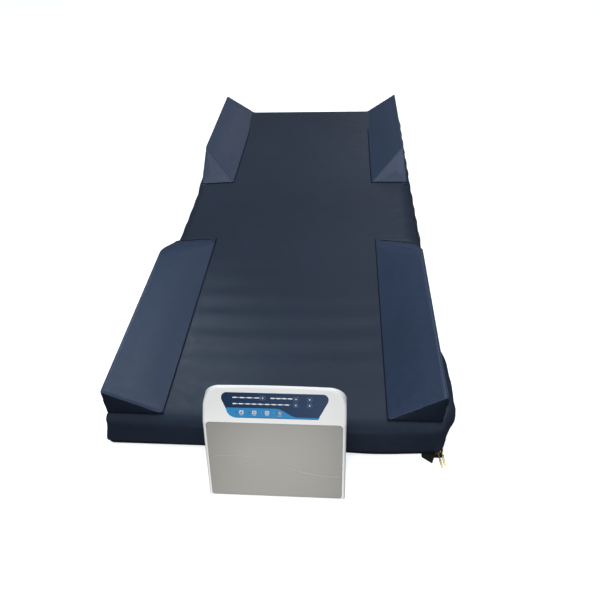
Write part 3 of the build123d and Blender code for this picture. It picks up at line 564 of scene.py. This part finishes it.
GRID = 12 * MM
EDGE = 26 * MM
cover = block(
    "mattress_cover",
    lines_between(-HALF_W, HALF_W, GRID, EDGE),
    lines_between(-HALF_L, HALF_L, GRID, EDGE),
    lines_between(ZIP_TOP, TOP - 1.5 * MM, GRID, EDGE),
    (8 * MM, 8 * MM, 8 * MM),
    shoulder_radius,
    NAVY,
    cover_shape,
)
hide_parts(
    "top_cover_foot", "top_cover_head", "air_cells_a_foot", "air_cells_b_foot", "air_cells_a_head",
    "air_cells_b_head", "pillow_cells", "manifold_hoses_foot", "manifold_hoses_head",
)

# ---------------- base cover and zip
INSET = 8 * MM
base = block(
    "base_cover",
    lines_between(-HALF_W + INSET, HALF_W - INSET, 24 * MM, 5 * MM, 3),
    lines_between(-HALF_L + INSET, HALF_L - INSET, GRID, 5 * MM, 3),
    lines_between(0, ZIP_TOP + 6 * MM, 6 * MM, 5 * MM, 3),
    (4 * MM, 4 * MM, 4 * MM),
    (4 * MM, 4 * MM, 4 * MM),
    BLACK_FABRIC,
    side_shape,
)
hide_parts("base_cover_foot", "base_cover_head")


def ring_points(half_x, half_y, corner, step):
    """Points round the mattress at one height, with rounded corners."""
    points = []
    for sx, sy, start in ((1, 1, 0), (-1, 1, 90), (-1, -1, 180), (1, -1, 270)):
        for n in range(5):
            angle = math.radians(start + 90 * n / 4)
            points.append((
                sx * (half_x - corner) + corner * math.cos(angle),
                sy * (half_y - corner) + corner * math.sin(angle),
            ))
    full = []
    for a, b in zip(points, points[1:] + points[:1]):
        length = math.dist(a, b)
        parts = max(1, int(length / step))
        full += [(a[0] + (b[0] - a[0]) * n / parts, a[1] + (b[1] - a[1]) * n / parts) for n in range(parts)]
    return full


def band(name, half_x, half_y, low, high, thickness, material):
    """A flat band round the mattress, standing on edge."""
    path = ring_points(half_x, half_y, 12 * MM, GRID)
    verts, faces = [], []
    count = len(path)
    for n, (x, y) in enumerate(path):
        before, after = path[n - 1], path[(n + 1) % count]
        along = Vector((after[0] - before[0], after[1] - before[1], 0)).normalized()
        inward = Vector((-along.y, along.x, 0)) * thickness
        wave = 0.4 * MM * math.sin(n * 1.7)
        verts += [(x, y, low), (x, y, high + wave), (x + inward.x, y + inward.y, high + wave),
                  (x + inward.x, y + inward.y, low)]
    for n in range(count):
        a, b = 4 * n, 4 * ((n + 1) % count)
        for s in range(4):
            t = (s + 1) % 4
            faces.append((a + s, b + s, b + t, a + t))
    return mesh_object(name, side_shape(np.array(verts)), faces, material, smooth_shade=False)


tape = band("zip_tape_band", HALF_W - 6.4 * MM, HALF_L - 6.4 * MM, 3 * MM, ZIP_TOP, 1.4 * MM, ZIP_TAPE)
teeth_verts, teeth_faces = [], []
TOOTH = 2.4 * MM
for n, (x, y) in enumerate(ring_points(HALF_W - 5.4 * MM, HALF_L - 5.4 * MM, 12 * MM, TOOTH)):
    rise = 0.5 * MM if n % 2 else -0.5 * MM
    along_x = abs(y) > HALF_L - 10 * MM
    half = (0.8 * MM, 1.2 * MM) if along_x else (1.2 * MM, 0.8 * MM)
    start = len(teeth_verts)
    for dz in (-1.9 * MM, 1.9 * MM):
        for dx, dy in ((-1, -1), (1, -1), (1, 1), (-1, 1)):
            teeth_verts.append((x + dx * half[0], y + dy * half[1], ZIP_Z + rise + dz))
    for quad in ((0, 3, 2, 1), (4, 5, 6, 7), (0, 1, 5, 4), (1, 2, 6, 5), (2, 3, 7, 6), (3, 0, 4, 7)):
        teeth_faces.append(tuple(start + q for q in quad))
teeth_verts = side_shape(np.array(teeth_verts))
teeth = mesh_object("zip_teeth", teeth_verts, teeth_faces, ZIP_COIL, smooth_shade=False)
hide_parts("zip_tape_foot", "zip_tape_head")

# ---------------- gathered edge along the right side
EDGE_Z = 86 * MM  # height of the gathered edge
edge_y = np.arange(-HALF_L + 32 * MM, HALF_L - 12 * MM, 5 * MM)


def edge_noise(frequency, seed):
    """Unevenness along the gathered edge."""
    return ripple_noise(edge_y * frequency, 0 * edge_y, seed)


edge_flat = np.stack([HALF_W + 0 * edge_y, edge_y, EDGE_Z + 5 * MM * edge_noise(22, 21)], 1)
edge_line = side_shape(edge_flat)
edge_lump = 0.5 + 0.5 * np.cos(2 * math.pi * edge_y / CELL_PITCH + 1.5 * edge_noise(9, 22))
edge_swell = 0.7 + 0.9 * ramp(edge_y, -420 * MM, -120 * MM)  # fuller beside the hips and the head
edge_radius = (2.6 + 3.6 * edge_lump * edge_swell + 0.8 * edge_noise(60, 23)) * MM
edge_radius = edge_radius * (0.25 + 0.75 * ramp(HALF_L - np.abs(edge_y), 10 * MM, 70 * MM))
edge = tube("side_gather", edge_line, edge_radius, BLACK_FABRIC, 10)

for piece in (cover, base, tape, teeth, edge):
    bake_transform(piece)


# ================ bolsters
def wedge_planes(verts, faces):
    """Unit normals and offsets of a convex solid's faces, pointing out."""
    centre = sum((Vector(v) for v in verts), Vector()) / len(verts)
    planes = []
    for face in faces:
        a, b, c = (Vector(verts[i]) for i in face[:3])
        normal = (b - a).cross(c - a).normalized()
        if normal.dot(a - centre) < 0:
            normal = -normal
        planes.append((np.array(normal), float(normal.dot(a))))
    return planes


RIDGE_LIFT = 8 * MM  # makes up for what rounding takes off the ridge
SUNK = 9 * MM  # how far the wedges reach down into the cover
HIP_SOFT = 44 * MM  # the foot bolsters run over into their hip ends without a crease
RIDGE_SOFT = 34 * MM  # the right foot bolster's worn, wide ridge
RIGHT_FOOT_LEAN = 12 * MM  # and its outer side leans in towards its foot
RIGHT_END_LEAN = 13 * MM  # its near end slopes back from the seam to the ridge
RIGHT_FOOT_RISE = 4 * MM  # its ridge stands a little higher
FOAM_LUMP = 0.9 * MM  # unevenness of the bolsters' faces
END_RUFFLE = 3.2 * MM  # crumpled cloth at the right foot bolster's near outer corner
PAINTED_SHADE_FACING = 0.72  # every face turned this much to the foot end takes the darker copy of the bolster cloth: painted shade
LEFT_HEAD_TUCK = 14 * MM  # the left head bolster stands a little inside the cover's edge
HIP_SWING = {  # how far a hip end swings towards the foot at its outer corner
    ("head", "left"): 14 * MM,
    ("foot", "left"): 22 * MM,
    ("foot", "right"): 26 * MM,
}


def soften(co, first, second, width):
    """Round off the edge where two planes meet, by moving points in from their smooth minimum."""
    for _ in range(3):
        a = first[1] - co @ first[0]
        b = second[1] - co @ second[0]
        over = np.maximum(width - np.abs(a - b), 0) / width
        inside = np.minimum(a, b) - over ** 2 * width / 4
        along = first[0] + second[0]
        along = along / np.linalg.norm(along)
        co = co + np.minimum(inside, 0)[:, None] * along[None, :]
    return co


def bolster(section, side_name, voxel=5 * MM, crown=4 * MM):
    """A foam wedge in its cover: a seam at the sleeping surface, a ridge outside and a sloping hip end.

    Returns the object and its corner points by name.
    """
    node = f"{section}_bolster_cover_{side_name}"
    low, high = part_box(node)
    side = 1 if side_name == "right" else -1
    towards = 1 if section == "foot" else -1
    flat_y, hip_y = (low.y, high.y) if section == "foot" else (high.y, low.y)
    seam_x = min(abs(low.x), abs(high.x))
    outer_x = max(abs(low.x), abs(high.x))
    if (section, side_name) == ("head", "left"):
        outer_x -= LEFT_HEAD_TUCK
    if (section, side_name) == ("foot", "right"):
        outer_x -= RIGHT_FOOT_LEAN
    co = np.array([v.co for v in NODES[node].data.vertices])
    top_line = co[co[:, 2] > high.z - 1 * MM]
    ridge_x = float(np.abs(top_line[:, 0]).mean())
    ridge_y = float((top_line[:, 1] * towards).max() * towards)
    ridge_z = high.z + RIDGE_LIFT
    flat_ridge_y = flat_y
    if (section, side_name) == ("foot", "right"):
        flat_ridge_y += RIGHT_END_LEAN
        ridge_z += RIGHT_FOOT_RISE
    ridge_x += (ridge_x - seam_x) / (high.z - low.z) * RIDGE_LIFT * 0.35
    base_z = low.z - SUNK
    slope = (ridge_x - seam_x) / (ridge_z - low.z)
    low_seam_x = seam_x - SUNK * slope
    low_hip_y = hip_y + SUNK * (hip_y - ridge_y) / (ridge_z - low.z)
    outer_hip_y = low_hip_y - HIP_SWING.get((section, side_name), 0)
    corners = [
        (side * low_seam_x, flat_y, base_z),
        (side * outer_x, flat_y, base_z),
        (side * ridge_x, flat_ridge_y, ridge_z),
        (side * low_seam_x, low_hip_y, base_z),
        (side * outer_x, outer_hip_y, base_z),
        (side * ridge_x, ridge_y, ridge_z),
    ]
    faces = [(0, 1, 2), (3, 5, 4), (0, 2, 5, 3), (1, 4, 5, 2), (0, 3, 4, 1)]
    obj = mesh_object(f"bolster_{section}_{side_name}", corners, faces, NAVY_BOLSTER)
    remesh = obj.modifiers.new("remesh", "REMESH")
    remesh.mode = "VOXEL"
    remesh.voxel_size = voxel
    remesh.use_smooth_shade = True
    relax = obj.modifiers.new("relax", "SMOOTH")
    relax.factor = 0.5
    relax.iterations = 3
    apply_modifiers(obj)
    co = vertex_array(obj)
    planes = wedge_planes(corners, faces)
    flat_end, hip_end, main, outer = planes[:4]
    depth = np.stack([offset - co @ normal for normal, offset in planes], 1)
    for n, (normal, _) in enumerate(planes[:-1]):
        others = np.delete(depth, n, axis=1).min(1)
        member = smooth(1 - depth[:, n] / (6 * MM))
        lumps = ripple_noise(co[:, 1] * 13, co[:, 0] * 17, n + 30)
        lift = crown * member * smooth(others / (60 * MM))
        lift = lift + member * smooth(others / (20 * MM)) * FOAM_LUMP * lumps
        co = co + lift[:, None] * normal[None, :]
    if section == "foot":
        raised = (main[0], main[1] + crown)
        co = soften(co, raised, (hip_end[0], hip_end[1] + crown), HIP_SOFT)
        if side_name == "right":
            co = soften(co, raised, (outer[0], outer[1] + 1 * MM), RIDGE_SOFT)
            near = smooth(1 - depth[:, 0] / (45 * MM)) * smooth(1 - depth[:, 3] / (10 * MM))
            ruffle = near * END_RUFFLE * ripple_noise(co[:, 2] * 150, co[:, 1] * 90, 41)
            co = co + ruffle[:, None] * (outer[0] + 0.7 * flat_end[0])[None, :]
    set_vertices(obj, co)
    for polygon in obj.data.polygons:
        polygon.use_smooth = True
    paint(obj, NAVY_BOLSTER)
    # faces turned to the foot end take the darker copy of the cloth: painted shade
    if section == "foot":
        obj.data.materials.append(NAVY_PAINTED_SHADE)
        end_normal = Vector(flat_end[0])
        for polygon in obj.data.polygons:
            if polygon.normal.dot(end_normal) > PAINTED_SHADE_FACING:
                polygon.material_index = 1
    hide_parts(node)
    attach(obj, f"{section}_section")
    points = {
        "flat_seam": Vector((side * seam_x, flat_y, low.z)),
        "flat_outer": Vector((side * outer_x, flat_y, low.z)),
        "flat_ridge": Vector((side * ridge_x, flat_ridge_y, ridge_z)),
        "hip_seam": Vector((side * seam_x, hip_y, low.z)),
        "hip_outer": Vector((side * outer_x, hip_y + outer_hip_y - low_hip_y, low.z)),
        "hip_ridge": Vector((side * ridge_x, ridge_y, ridge_z)),
    }
    return obj, points


def welt(name, obj, start, end, radius, material, section, wander=0.0):
    """A sewn edge laid on the surface of obj from start to end."""
    mesh = obj.data
    tree = BVHTree.FromPolygons([v.co for v in mesh.vertices], [tuple(p.vertices) for p in mesh.polygons])
    length = (end - start).length
    count = max(8, int(length / (6 * MM)))
    line = []
    for n in range(count + 1):
        place, normal, _, _ = tree.find_nearest(start.lerp(end, n / count))
        line.append(place + normal * wander * math.sin(n * 1.9))
    strip = tube(name, line, radius, material, 8)
    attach(strip, f"{section}_section")
    return strip


for section in ("foot", "head"):
    for side_name in ("left", "right"):
        obj, at = bolster(section, side_name)
        tag = f"{section}_{side_name}"
        above = Vector((0, 0, 1.6 * MM))
        line = [at["flat_seam"].lerp(at["hip_seam"], n / 80) + above for n in range(81)]
        thread = 1.2 * MM if tag == "foot_right" else 1.7 * MM
        seam = tube(f"seam_inner_{tag}", line, thread, SEAM_THREAD, 6)
        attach(seam, f"{section}_section")
        # the piping along the end, hip and ridge edges is drawn in the lighter navy, a painted highlight
        welt(f"welt_highlight_end_{tag}", obj, at["flat_seam"], at["flat_ridge"], 1.5 * MM, WELT_PAINTED_HIGHLIGHT, section)
        welt(f"welt_highlight_hip_{tag}", obj, at["hip_seam"], at["hip_ridge"], 1.1 * MM, WELT_PAINTED_HIGHLIGHT, section)
        welt(f"welt_highlight_ridge_{tag}", obj, at["flat_ridge"], at["hip_ridge"], 1.2 * MM, WELT_PAINTED_HIGHLIGHT, section)
        low_end = [at["flat_seam"] + above, at["flat_outer"] + above]
        low_hip = [at["hip_seam"] + above, at["hip_outer"] + above]
        for part, (start, end) in (("end", low_end), ("hip", low_hip)):
            welt(f"seam_{part}_{tag}", obj, start, end, 2.2 * MM, SEAM_THREAD, section, wander=0.8 * MM)
    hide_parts(f"{section}_bolster_foams")


# ================ the pump's panel and face
def flat_face(node):
    """A function from (u, v, height) to a place on a node's largest flat face.

    u runs along +X from the node's middle, v up the face from its low edge and height out of it.
    """
    mesh = NODES[node].data
    low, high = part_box(node)
    across = Vector((1, 0, 0))
    out = max(mesh.polygons, key=lambda polygon: polygon.area).normal.copy()
    if out.z < 0:
        out.negate()
    up = out.cross(across)
    skin = max(v.co.dot(out) for v in mesh.vertices)
    foot = min(v.co.dot(up) for v in mesh.vertices)
    middle = (low.x + high.x) / 2

    def place(u, v, height=0.0):
        return across * (middle + u) + up * (foot + v) + out * (skin + height)

    def read(point):
        return point.x - middle, point.dot(up) - foot

    return place, read


def rounded_loop(corners, radii, steps=6):
    """A closed outline with rounded corners, counter-clockwise."""
    loop = []
    count = len(corners)
    for n, (corner, radius) in enumerate(zip(corners, radii)):
        here = Vector(corner)
        back = (Vector(corners[n - 1]) - here).normalized()
        on = (Vector(corners[(n + 1) % count]) - here).normalized()
        half = back.angle(on) / 2
        start = here + back * radius / math.tan(half)
        end = here + on * radius / math.tan(half)
        centre = here + (back + on).normalized() * radius / math.sin(half)
        for k in range(steps + 1):
            arm = (start - centre).lerp(end - centre, k / steps).normalized() * radius
            loop.append((centre.x + arm.x, centre.y + arm.y))
    return loop


def box_loop(u, v, wide, tall, radius):
    corners = [(u - wide / 2, v - tall / 2), (u + wide / 2, v - tall / 2),
               (u + wide / 2, v + tall / 2), (u - wide / 2, v + tall / 2)]
    return rounded_loop(corners, [radius] * 4, 4)


def ring_loops(u, v, radius, line):
    turns = [2 * math.pi * n / 20 for n in range(20)]
    return [[(u + r * math.cos(t), v + r * math.sin(t)) for t in turns] for r in (radius, radius - line)]


def frame_loops(u, v, wide, tall, radius, line):
    inner = box_loop(u, v, wide - 2 * line, tall - 2 * line, radius - line)
    return [box_loop(u, v, wide, tall, radius), inner]


def printed(name, place, loops, base, thick, material, body):
    """A thin flat print cut to the loops (a loop inside another is a hole), laid at a height on a face."""
    curve = bpy.data.curves.new(name, "CURVE")
    curve.dimensions = "2D"
    curve.fill_mode = "BOTH"
    curve.extrude = thick / 2
    for loop in loops:
        spline = curve.splines.new("POLY")
        spline.points.add(len(loop) - 1)
        for point, (u, v) in zip(spline.points, loop):
            point.co = (u, v, 0, 1)
        spline.use_cyclic_u = True
    outline = bpy.data.objects.new(name, curve)
    bpy.context.scene.collection.objects.link(outline)
    depsgraph = bpy.context.evaluated_depsgraph_get()
    mesh = bpy.data.meshes.new_from_object(outline.evaluated_get(depsgraph))
    bpy.data.objects.remove(outline)
    verts = [place(v.co.x, v.co.y, base + thick / 2 + v.co.z) for v in mesh.vertices]
    faces = [tuple(p.vertices) for p in mesh.polygons]
    bpy.data.meshes.remove(mesh)
    obj = mesh_object(name, verts, faces, material, smooth_shade=False)
    turn_outward(obj.data, weld=0.00001)
    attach(obj, body)
    return obj


panel, panel_read = flat_face("panel_overlay")
PRINT = 0.12 * MM
film_edge = [panel_read(v.co) for v in NODES["panel_overlay"].data.vertices]
film_tall = max(v for _, v in film_edge)
film_half = max(u for u, _ in film_edge)
film_feet = [pick(u for u, v in film_edge if v < 1 * MM) for pick in (min, max)]
keys = {}
for key_name in NODES:
    if key_name.startswith("key_"):
        key_low, key_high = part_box(key_name)
        keys[key_name] = panel_read((key_low + key_high) / 2)
KEY_W, KEY_H = 10.5 * MM, 8.5 * MM
KEY_SLACK, FRAME_GAP = 0.6 * MM, 2.4 * MM  # an opening and a printed frame are larger than the key by these

# the blue field along the bottom, its top edge sweeping down to a thin tail on the right
INSET_PRINT = 1.1 * MM
BAND_HIGH, BAND_TAIL = 24 * MM, 4.0 * MM
BAND_TURN = (4 * MM, 56 * MM)
film_outline = rounded_loop(
    [
        (film_feet[0] - 14 * MM, INSET_PRINT),
        (film_feet[1] + 6 * MM, INSET_PRINT),
        (film_half - 2 * INSET_PRINT, film_tall - INSET_PRINT),
        (-film_half + 2 * INSET_PRINT, film_tall - INSET_PRINT),
    ],
    [23 * MM, 11 * MM, 12 * MM, 12 * MM],
    10,
)


def band_top(u):
    return BAND_TAIL + (BAND_HIGH - BAND_TAIL) * (1 - float(ramp(u, *BAND_TURN)))


lower = []
count = len(film_outline)
for n, (u, v) in enumerate(film_outline):
    u_next, v_next = film_outline[(n + 1) % count]
    for k in range(12):
        a, b = u + (u_next - u) * k / 12, v + (v_next - v) * k / 12
        if b < band_top(a):
            lower.append((a, b))
first = max(range(len(lower)), key=lambda n: math.dist(lower[n - 1], lower[n]))
lower = lower[first:] + lower[:first]
sweep = np.linspace(lower[-1][0], lower[0][0], 40)[1:-1]
band_loop = lower + [(float(u), band_top(float(u))) for u in sweep]
big_openings = [box_loop(*keys[k], KEY_W + KEY_SLACK, KEY_H + KEY_SLACK, 1.8 * MM) for k in BIG_KEYS]
printed("print_blue_field", panel, [band_loop] + big_openings, 0, PRINT, BLUE_PRINT, "pump")

# outlines round the small keys, captions under the large ones and the strip that joins each row of lamps
LINE = 0.5 * MM
frames = []
for key_name, (u, v) in keys.items():
    if key_name not in BIG_KEYS:
        frames += frame_loops(u, v, KEY_W + FRAME_GAP, KEY_H + FRAME_GAP, 2.4 * MM, LINE)
printed("print_key_frames", panel, frames, 0, PRINT, WHITE_DIM, "pump")
captions = [box_loop(keys[k][0], keys[k][1] - 6.6 * MM, 8.5 * MM, 0.7 * MM, 0.2 * MM) for k in BIG_KEYS]
printed("print_captions", panel, captions, PRINT, PRINT, WHITE_PRINT, "pump")
top_v = keys["key_pressure"][1]
mid_v = keys["key_comfort"][1] + 0.5 * MM
LAMP_ROWS = ((-63 * MM, top_v, 64 * MM), (18 * MM, top_v, 52 * MM), (-30 * MM, mid_v, 134 * MM))
strips = [box_loop(u, v, wide, 1.0 * MM, 0.3 * MM) for u, v, wide in LAMP_ROWS]
printed("print_lamp_strips", panel, strips, 0, PRINT, WHITE_PRINT, "pump")

# red-brown lenses over the single lamps, each beside its key
LENS_AT = 12 * MM
lenses = [ring_loops(keys[k][0] - LENS_AT, keys[k][1], 1.6 * MM, 0)[0] for k in
          BIG_KEYS + ("key_alarm_silence", "key_seat_inflate")]
printed("lamp_lenses", panel, lenses, 0.3 * MM, PRINT, LAMP_OFF, "pump")

# a small generic sign on every key; it moves with the key
KEY_TOP = 0.4 * MM  # keys stand this far out of the film
for key_name, (u, v) in keys.items():
    if key_name == "key_lock":
        shackle = ring_loops(u, v + 1.7 * MM, 1.5 * MM, 0.6 * MM)
        sign = [box_loop(u, v - 1 * MM, 4.4 * MM, 3 * MM, 0.4 * MM)] + shackle
    elif key_name == "key_static":
        pad = box_loop(u, v + 1 * MM, 6.4 * MM, 1.4 * MM, 0.4 * MM)
        sign = [pad, box_loop(u, v - 1.5 * MM, 6.4 * MM, 0.8 * MM, 0.2 * MM)]
    elif key_name == "key_mode":
        sign = [box_loop(u + d * MM, v, 1.1 * MM, (5 - abs(d)) * MM, 0.3 * MM) for d in (-2.4, 0, 2.4)]
    elif key_name == "key_power":
        stroke = box_loop(u, v + 2.9 * MM, 0.8 * MM, 1.2 * MM, 0.2 * MM)
        sign = ring_loops(u, v - 0.3 * MM, 2.4 * MM, 0.7 * MM) + [stroke]
    else:
        sign = ring_loops(u, v, 1.5 * MM, 0)[:1]
    ink = SIGN_DARK if key_name in PALE_KEYS else WHITE_PRINT
    printed(f"sign_{key_name[4:]}", panel, sign, KEY_TOP, PRINT, ink, key_name)

# the raised wave across the grey face, drawn lighter than the face: painted highlight
face, _ = flat_face("pump_front_cover")
face_low, face_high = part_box("pump_front_cover")
face_half = (face_high.x - face_low.x) / 2 - 4 * MM
WAVE_MID, WAVE_RISE = 96 * MM, 29 * MM
wave_line = []
for n in range(61):
    across = -1 + 2 * n / 60
    v = WAVE_MID + WAVE_RISE * math.cos((across + 0.62) * 2.05) * (1 - 0.12 * across)
    wave_line.append(face(across * face_half, v, 0.1 * MM))
wave = tube("face_wave", wave_line, 0.8 * MM, GREY_PAINTED_HIGHLIGHT, 8)
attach(wave, "pump")


# ================ straps
def at_rest(u, v, height=0.0):
    """On the ground plane."""
    return Vector((u, v, height))


tab_low, tab_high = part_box("corner_strap")
tab_size = tab_high - tab_low
TAB_OUTLINE = ((0, 1), (0, 0.52), (0.43, 0), (0.54, 0.5), (0.84, 0.5), (1, 0.64), (0.9, 1))
tab_corners = [(tab_low.x + a * tab_size.x, tab_low.y + b * tab_size.y) for a, b in TAB_OUTLINE]
tab = printed("corner_webbing", at_rest, [rounded_loop(tab_corners, [0.8 * MM] * len(tab_corners), 3)],
              0.05 * MM, 1.5 * MM, BLACK_WEBBING, "foot_section")
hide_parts("corner_strap")


def flat_strap(name, path, across, wide, thick, material):
    """A flat strap with rounded edges along the path; across is the direction of its width."""
    verts = []
    sides = 16
    across = Vector(across)
    for n, point in enumerate(path):
        along = (path[min(n + 1, len(path) - 1)] - path[max(n - 1, 0)]).normalized()
        out = along.cross(across).normalized()
        for k in range(sides):
            angle = 2 * math.pi * k / sides
            cosine, sine = math.cos(angle), math.sin(angle)
            a = math.copysign(abs(cosine) ** 0.35, cosine) * wide / 2
            b = math.copysign(abs(sine) ** 0.7, sine) * thick / 2
            verts.append(point + across * a + out * b)
    return skin_rings(name, verts, sides, material)


strap_low, strap_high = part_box("cpr_strap")
strap_x = (strap_low.x + strap_high.x) / 2
strap_y = (strap_low.y + strap_high.y) / 2
strap_path = []
for n in range(25):
    t = n / 24
    curl = 1.6 * MM * math.sin(t * 7) * t
    sway = 1 * MM * math.sin(t * 4)
    drop = strap_high.z + (strap_low.z - strap_high.z) * t
    strap_path.append(Vector((strap_x - curl, strap_y + sway, drop)))
STRAP_W, STRAP_T = strap_high.y - strap_low.y, 1.4 * MM
pull_strap = flat_strap("cpr_webbing", strap_path, (0, 1, 0), STRAP_W, STRAP_T, RED_WEBBING)
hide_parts("cpr_strap")
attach(pull_strap, "cpr_plug")


# ================ the stage
def light(name, kind, place, target, energy, size, colour=(1, 1, 1)):
    data = bpy.data.lights.new(name, kind)
    data.energy = energy
    data.color = colour
    if kind == "AREA":
        data.shape = "RECTANGLE"
        data.size, data.size_y = size
    obj = bpy.data.objects.new(name, data)
    obj.location = place
    obj.rotation_euler = (Vector(target) - Vector(place)).to_track_quat("-Z", "Y").to_euler()
    bpy.context.scene.collection.objects.link(obj)
    return obj


FLOOR = 12.0
floor_mesh = bpy.data.meshes.new("floor")
floor_mesh.from_pydata(
    [(-FLOOR, -FLOOR, 0), (FLOOR, -FLOOR, 0), (FLOOR, FLOOR, 0), (-FLOOR, FLOOR, 0)], [], [(0, 1, 2, 3)]
)
floor = bpy.data.objects.new("floor", floor_mesh)
floor.location.z = -0.2 * MM
bpy.context.scene.collection.objects.link(floor)
floor_material, _, _, floor_shader = new_material("floor_white", (0.9, 0.9, 0.9), 0.9)
floor_shader.inputs["Specular IOR Level"].default_value = 0.0
floor_shader.inputs["Emission Color"].default_value = (1, 1, 1, 1)
floor_shader.inputs["Emission Strength"].default_value = 0.5
floor_mesh.materials.append(floor_material)
floor.visible_diffuse = False
floor.visible_glossy = False

world = bpy.data.worlds.new("studio")
bpy.context.scene.world = world
world.use_nodes = True
sky = world.node_tree
sky_place = sky.nodes.new("ShaderNodeTexCoord")
sky_split = sky.nodes.new("ShaderNodeSeparateXYZ")
sky.links.new(sky_place.outputs["Generated"], sky_split.inputs["Vector"])
SKY_STOPS = [  # from straight down, over the horizon at 0.5, to straight up
    (0.0, (0.10, 0.10, 0.11)),
    (0.5, (0.13, 0.15, 0.18)),
    (0.72, (0.34, 0.39, 0.46)),
    (1.0, (0.80, 0.90, 1.0)),
]
sky_height = map_range(sky.nodes, sky.links, sky_split.outputs["Z"], 0, 1, -1, 1)
sky_colour = colour_ramp(sky.nodes, sky.links, sky_height, SKY_STOPS)
sky.links.new(sky_colour, sky.nodes["Background"].inputs["Color"])
sky.nodes["Background"].inputs["Strength"].default_value = 0.8
# the front key and the sheen lights: broad, soft and from above, with one soft patch on the near left
key = light("front_key", "AREA", (0.3, -3.2, 4.4), (0, -0.6, 0.1), 92, (2.2, 2.2))
key.visible_glossy = False
light("overhead", "AREA", (-0.7, 0.2, 4.6), (-0.1, 0, 0.1), 50, (2.4, 2.4), (0.92, 0.97, 1.0))
light("back_right", "AREA", (1.15, 0.95, 2.85), (-0.38, -0.9, 0.1), 24, (0.9, 0.9), (0.80, 0.86, 1.0))
light("far_right", "AREA", (0.8, 3.2, 1.4), (-0.38, 0.7, 0.1), 3.2, (1.0, 1.0), (1.0, 0.96, 1.0))
window = light("window", "SPOT", (-0.9, 0.6, 1.7), (-0.32, -0.86, 0.12), 62, None, (0.74, 0.88, 1.0))
window.data.spot_size = math.radians(22)
window.data.spot_blend = 1.0
window.data.shadow_soft_size = 0.25
low = light("low_front", "AREA", (0.0, -1.55, 0.03), (0.02, -1.16, 0.08), 1.5, (0.40, 0.05))
low.visible_camera = False
bpy.context.scene.view_settings.view_transform = "Standard"

# ---------------- camera
CAMERA_PLACE = Vector((0.1693, -1.8749, 1.3121))
LENS_MM, SENSOR_MM = 32.954, 36
YAW, PITCH, ROLL = (math.radians(a) for a in (-5.435, 41.228, -2.744))
forward = Vector((math.sin(YAW) * math.cos(PITCH), math.cos(YAW) * math.cos(PITCH), -math.sin(PITCH)))
level = Vector((math.cos(YAW), -math.sin(YAW), 0))
upright = level.cross(forward)
right = level * math.cos(ROLL) + upright * math.sin(ROLL)
up = upright * math.cos(ROLL) - level * math.sin(ROLL)
camera_data = bpy.data.cameras.new("camera")
camera_data.sensor_width = SENSOR_MM
camera_data.lens = LENS_MM
camera = bpy.data.objects.new("camera", camera_data)
camera.matrix_world = Matrix((
    (right.x, up.x, -forward.x, CAMERA_PLACE.x),
    (right.y, up.y, -forward.y, CAMERA_PLACE.y),
    (right.z, up.z, -forward.z, CAMERA_PLACE.z),
    (0, 0, 0, 1),
))
bpy.context.scene.collection.objects.link(camera)
bpy.context.scene.camera = camera
